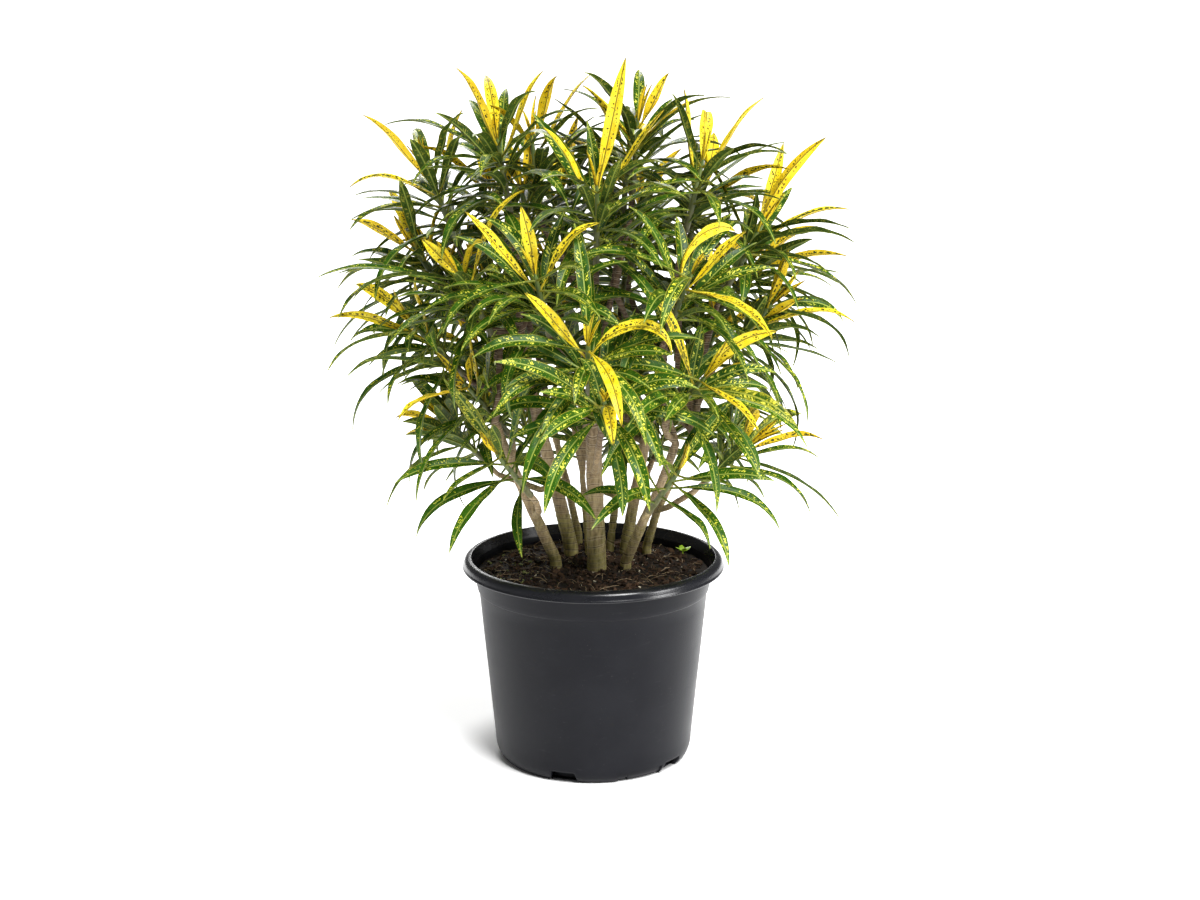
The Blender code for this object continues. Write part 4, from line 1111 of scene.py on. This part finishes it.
def build_shoot(name, shoot, number):
    pick = random.Random(100 + number)
    ages = leaf_ages(name, shoot["leaves"], pick)
    parts = {"points": [], "mm": [], "share": [], "age": [], "tone": []}
    faces, finish, total = [], [], 0
    buds = extra_buds(shoot, pick)
    for k, leaf in enumerate(shoot["leaves"] + buds):
        bud = k >= len(shoot["leaves"])
        age = pick.uniform(0.0, 0.15) if bud else ages[k]
        tip = leaf["tip"]
        width = leaf["stations"][0].get("width", 0.0045)
        width = min(width, 0.0104 + 0.3 * max(0.0, width - 0.0104)) * pick.uniform(0.86, 1.0)
        fold = pick.uniform(0.20, 0.42) if age < 0.4 else pick.uniform(0.12, 0.34)
        wave = 0.0 if bud else pick.uniform(0.0002, 0.0007)
        curl = 0.0 if bud else pick.uniform(0.0, 0.007)
        sway = 0.0 if bud else pick.uniform(-0.0022, 0.0022)
        points, some, mm, share, kinds = blade(leaf, width, fold, wave, curl, sway, pick.random())
        low_front = np.clip((0.40 - tip[2]) / 0.16, 0, 1) * np.clip((0.03 - tip[1]) / 0.12, 0, 1)
        tone = float(np.clip(0.12 + 0.25 * low_front + pick.uniform(-0.10, 0.35) * (1.1 - age), 0, 1))
        start = total
        total += len(points)
        faces += [tuple(start + i for i in face) for face in some]
        finish += kinds
        parts["points"].append(points)
        parts["mm"].append(mm)
        parts["share"].append(share)
        parts["age"].append(np.full(len(points), age))
        parts["tone"].append(np.full(len(points), tone))
    rings = green_stem_rings(shoot)
    faces += loft(rings, total)
    finish += [2] * (len(rings[0]) * (len(rings) - 1) + 2)
    stem_points = np.array([p for ring in rings for p in ring])
    up = np.repeat(np.arange(STEM_STEPS + 1) / STEM_STEPS, STEM_SIDES)
    blades = total
    total += len(stem_points)
    parts["points"].append(stem_points)
    for key in ("mm", "share"):
        parts[key].append(np.zeros((len(stem_points), 3)))
    for key in ("age", "tone"):
        parts[key].append(np.zeros(len(stem_points)))
    numbers = {"leaf_" + key: np.concatenate(parts[key]) for key in ("mm", "share", "age", "tone")}
    numbers["up_stem"] = np.concatenate([np.zeros(blades), up])
    piece = add_piece(name.replace("shoot_", "leaves_"), np.concatenate(parts["points"]), faces,
                      [leaf_top, leaf_under, green_stem], numbers, finish, 60)
    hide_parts(name)
    return len(faces)


counts = [build_shoot(name, shoot, k) for k, (name, shoot) in enumerate(shoots.items())]
print("shoots built:", len(counts), "faces:", sum(counts))

# %% [markdown]
# ## The seedling
# A small weed has sprouted beside the stems: a thread of a stalk and four round leaves.

# %% Seedling
SEEDLING_LEAVES = [(20, 0.0088, 0.8), (200, 0.0088, 1.0), (110, 0.0070, 1.6), (290, 0.0070, 1.2)]
SEEDLING_SECTION = [(-1, 0.15), (-0.5, 0.04), (0, 0.0), (0.5, 0.04), (1, 0.15), (0.5, -0.02),
                    (0, -0.06), (-0.5, -0.02)]


def seedling_finish():
    f = Finish("seedling_leaf")
    place = f.place()
    tone = f.steps(f.noise(place, 350.0, 3.0), 0.3, 0.7)
    colour = f.mix(tone, (0.30, 0.52, 0.02), (0.50, 0.72, 0.06))
    f.fill(f.surface, {"base_color": colour, "roughness": 0.45})
    f.bump(f.noise(place, 900.0, 2.0), 0.2, 0.0004)
    return f.material


def build_seedling():
    low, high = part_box("weed_seedling")
    foot = Vector(((low.x + high.x) / 2 - 0.0003, (low.y + high.y) / 2, low.z))
    top = Vector((foot.x + 0.0004, foot.y - 0.0006, high.z - 0.004))
    rings = tube([foot.lerp(top, s / 5) for s in range(6)], [0.0006] * 5 + [0.0004], 8)
    faces, points = loft(rings), [p for ring in rings for p in ring]
    for heading, size, lift in SEEDLING_LEAVES:
        h = math.radians(heading)
        out = Vector((math.cos(h), math.sin(h), lift)).normalized()
        side = Vector((-math.sin(h), math.cos(h), 0))
        up = side.cross(out)
        leaf_rings = []
        for s in range(9):
            t = s / 8
            full = 0.16 + 0.84 * math.sin(math.pi * min(1, 0.05 + t * 0.93)) ** 0.8
            half = size * 0.34 * full if s else 0.0004
            middle = top + out * size * t - Vector((0, 0, 0.25 * size * t * t))
            leaf_rings.append([middle - side * half * u + up * (abs(half) * w)
                               for u, w in SEEDLING_SECTION])
        faces += loft(leaf_rings, len(points))
        points += [p for ring in leaf_rings for p in ring]
    piece = add_piece("seedling", points, faces, [seedling_finish()])
    bm = bmesh.new()
    bm.from_mesh(piece.data)
    bmesh.ops.recalc_face_normals(bm, faces=bm.faces[:])
    bm.to_mesh(piece.data)
    bm.free()
    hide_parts("weed_seedling")
    return len(faces)


print("seedling faces:", build_seedling())

# %% [markdown]
# ## Floor, light and camera
# The plant stands on a plain white surface in soft studio light. A broad sun above the front
# right makes the shadows, a panel on the right brightens that side of the pot, and one behind
# keeps the back from going dark. The floor glows a little away from the pot, a painted light that
# keeps it white and the shadow beside the pot soft. Near the pot the glow fades out, which paints a
# soft shade round its foot and keeps the space under the pot dark. The camera looks down slightly
# from the front.

# %% Stage
def build_stage():
    f = Finish("studio_floor")
    grain = f.noise(f.place(), 6.0, 2.0)
    f.fill(f.surface, {"base_color": f.mix(grain, (0.93, 0.93, 0.93), (0.96, 0.96, 0.96)),
                       "roughness": 0.9, "specular_ior_level": 0.1})
    away = f.vector("MULTIPLY", f.place(), (1.0, 1.0, 0.0))
    away = f.add("VectorMath", {0: away}, operation="LENGTH").outputs["Value"]
    # painted light: the floor glows away from the pot. The glow is zero within 72 mm of the axis, which
    # paints a soft shade round the pot's foot and keeps the space under it dark
    f.fill(f.surface, {"emission_color": (1.0, 1.0, 1.0),
                       "emission_strength": f.steps(away, 0.072, 0.13, 0.0, 0.64)})
    mesh = bpy.data.meshes.new("studio_floor")
    reach = 30.0
    corners = [(-reach, -reach, 0), (reach, -reach, 0), (reach, reach, 0), (-reach, reach, 0)]
    mesh.from_pydata(corners, [], [(0, 1, 2, 3)])
    mesh.materials.append(f.material)
    floor = bpy.data.objects.new("studio_floor", mesh)
    bpy.context.scene.collection.objects.link(floor)


build_stage()
world = bpy.data.worlds.new("studio")
bpy.context.scene.world = world
world.use_nodes = True
sky = world.node_tree.nodes["Background"]
sky.inputs[0].default_value = (1.0, 1.0, 1.0, 1.0)
seen_by = world.node_tree.nodes.new("ShaderNodeLightPath")
level = world.node_tree.nodes.new("ShaderNodeMapRange")
level.inputs[3].default_value = 0.18      # light that falls on the plant
level.inputs[4].default_value = 1.05      # what the camera sees behind it
world.node_tree.links.new(seen_by.outputs["Is Camera Ray"], level.inputs[0])
world.node_tree.links.new(level.outputs[0], sky.inputs[1])


def add_light(name, kind, energy, place, aim, **settings):
    data = bpy.data.lights.new(name, kind)
    data.energy = energy
    for key, value in settings.items():
        setattr(data, key, value)
    light = bpy.data.objects.new(name, data)
    light.location = place
    light.rotation_euler = (Vector(aim) - Vector(place)).to_track_quat("-Z", "Y").to_euler()
    bpy.context.scene.collection.objects.link(light)


add_light("overhead", "SUN", 4.7, (0.75, -1.25, 2.3), (0, 0, 0.2), angle=math.radians(24))
add_light("front_right", "AREA", 26.0, (1.8, -0.9, 1.0), (0, 0, 0.30), size=0.7)
add_light("behind", "AREA", 22.0, (-0.3, 2.0, 1.4), (0, 0, 0.30), size=0.9)
bpy.context.scene.view_settings.view_transform = "Standard"

CAMERA_AWAY, CAMERA_HEIGHT = 1.8, 0.690
LOOK_DOWN, LOOK_ASIDE = 13.66, -0.172      # degrees

camera_data = bpy.data.cameras.new("camera")
camera_data.sensor_width = 36.0
camera_data.lens = 70.0
camera = bpy.data.objects.new("camera", camera_data)
camera.location = (0.0, -CAMERA_AWAY, CAMERA_HEIGHT)
camera.rotation_euler = (math.radians(90 - LOOK_DOWN), 0.0, math.radians(LOOK_ASIDE))
bpy.context.scene.collection.objects.link(camera)
bpy.context.scene.camera = camera
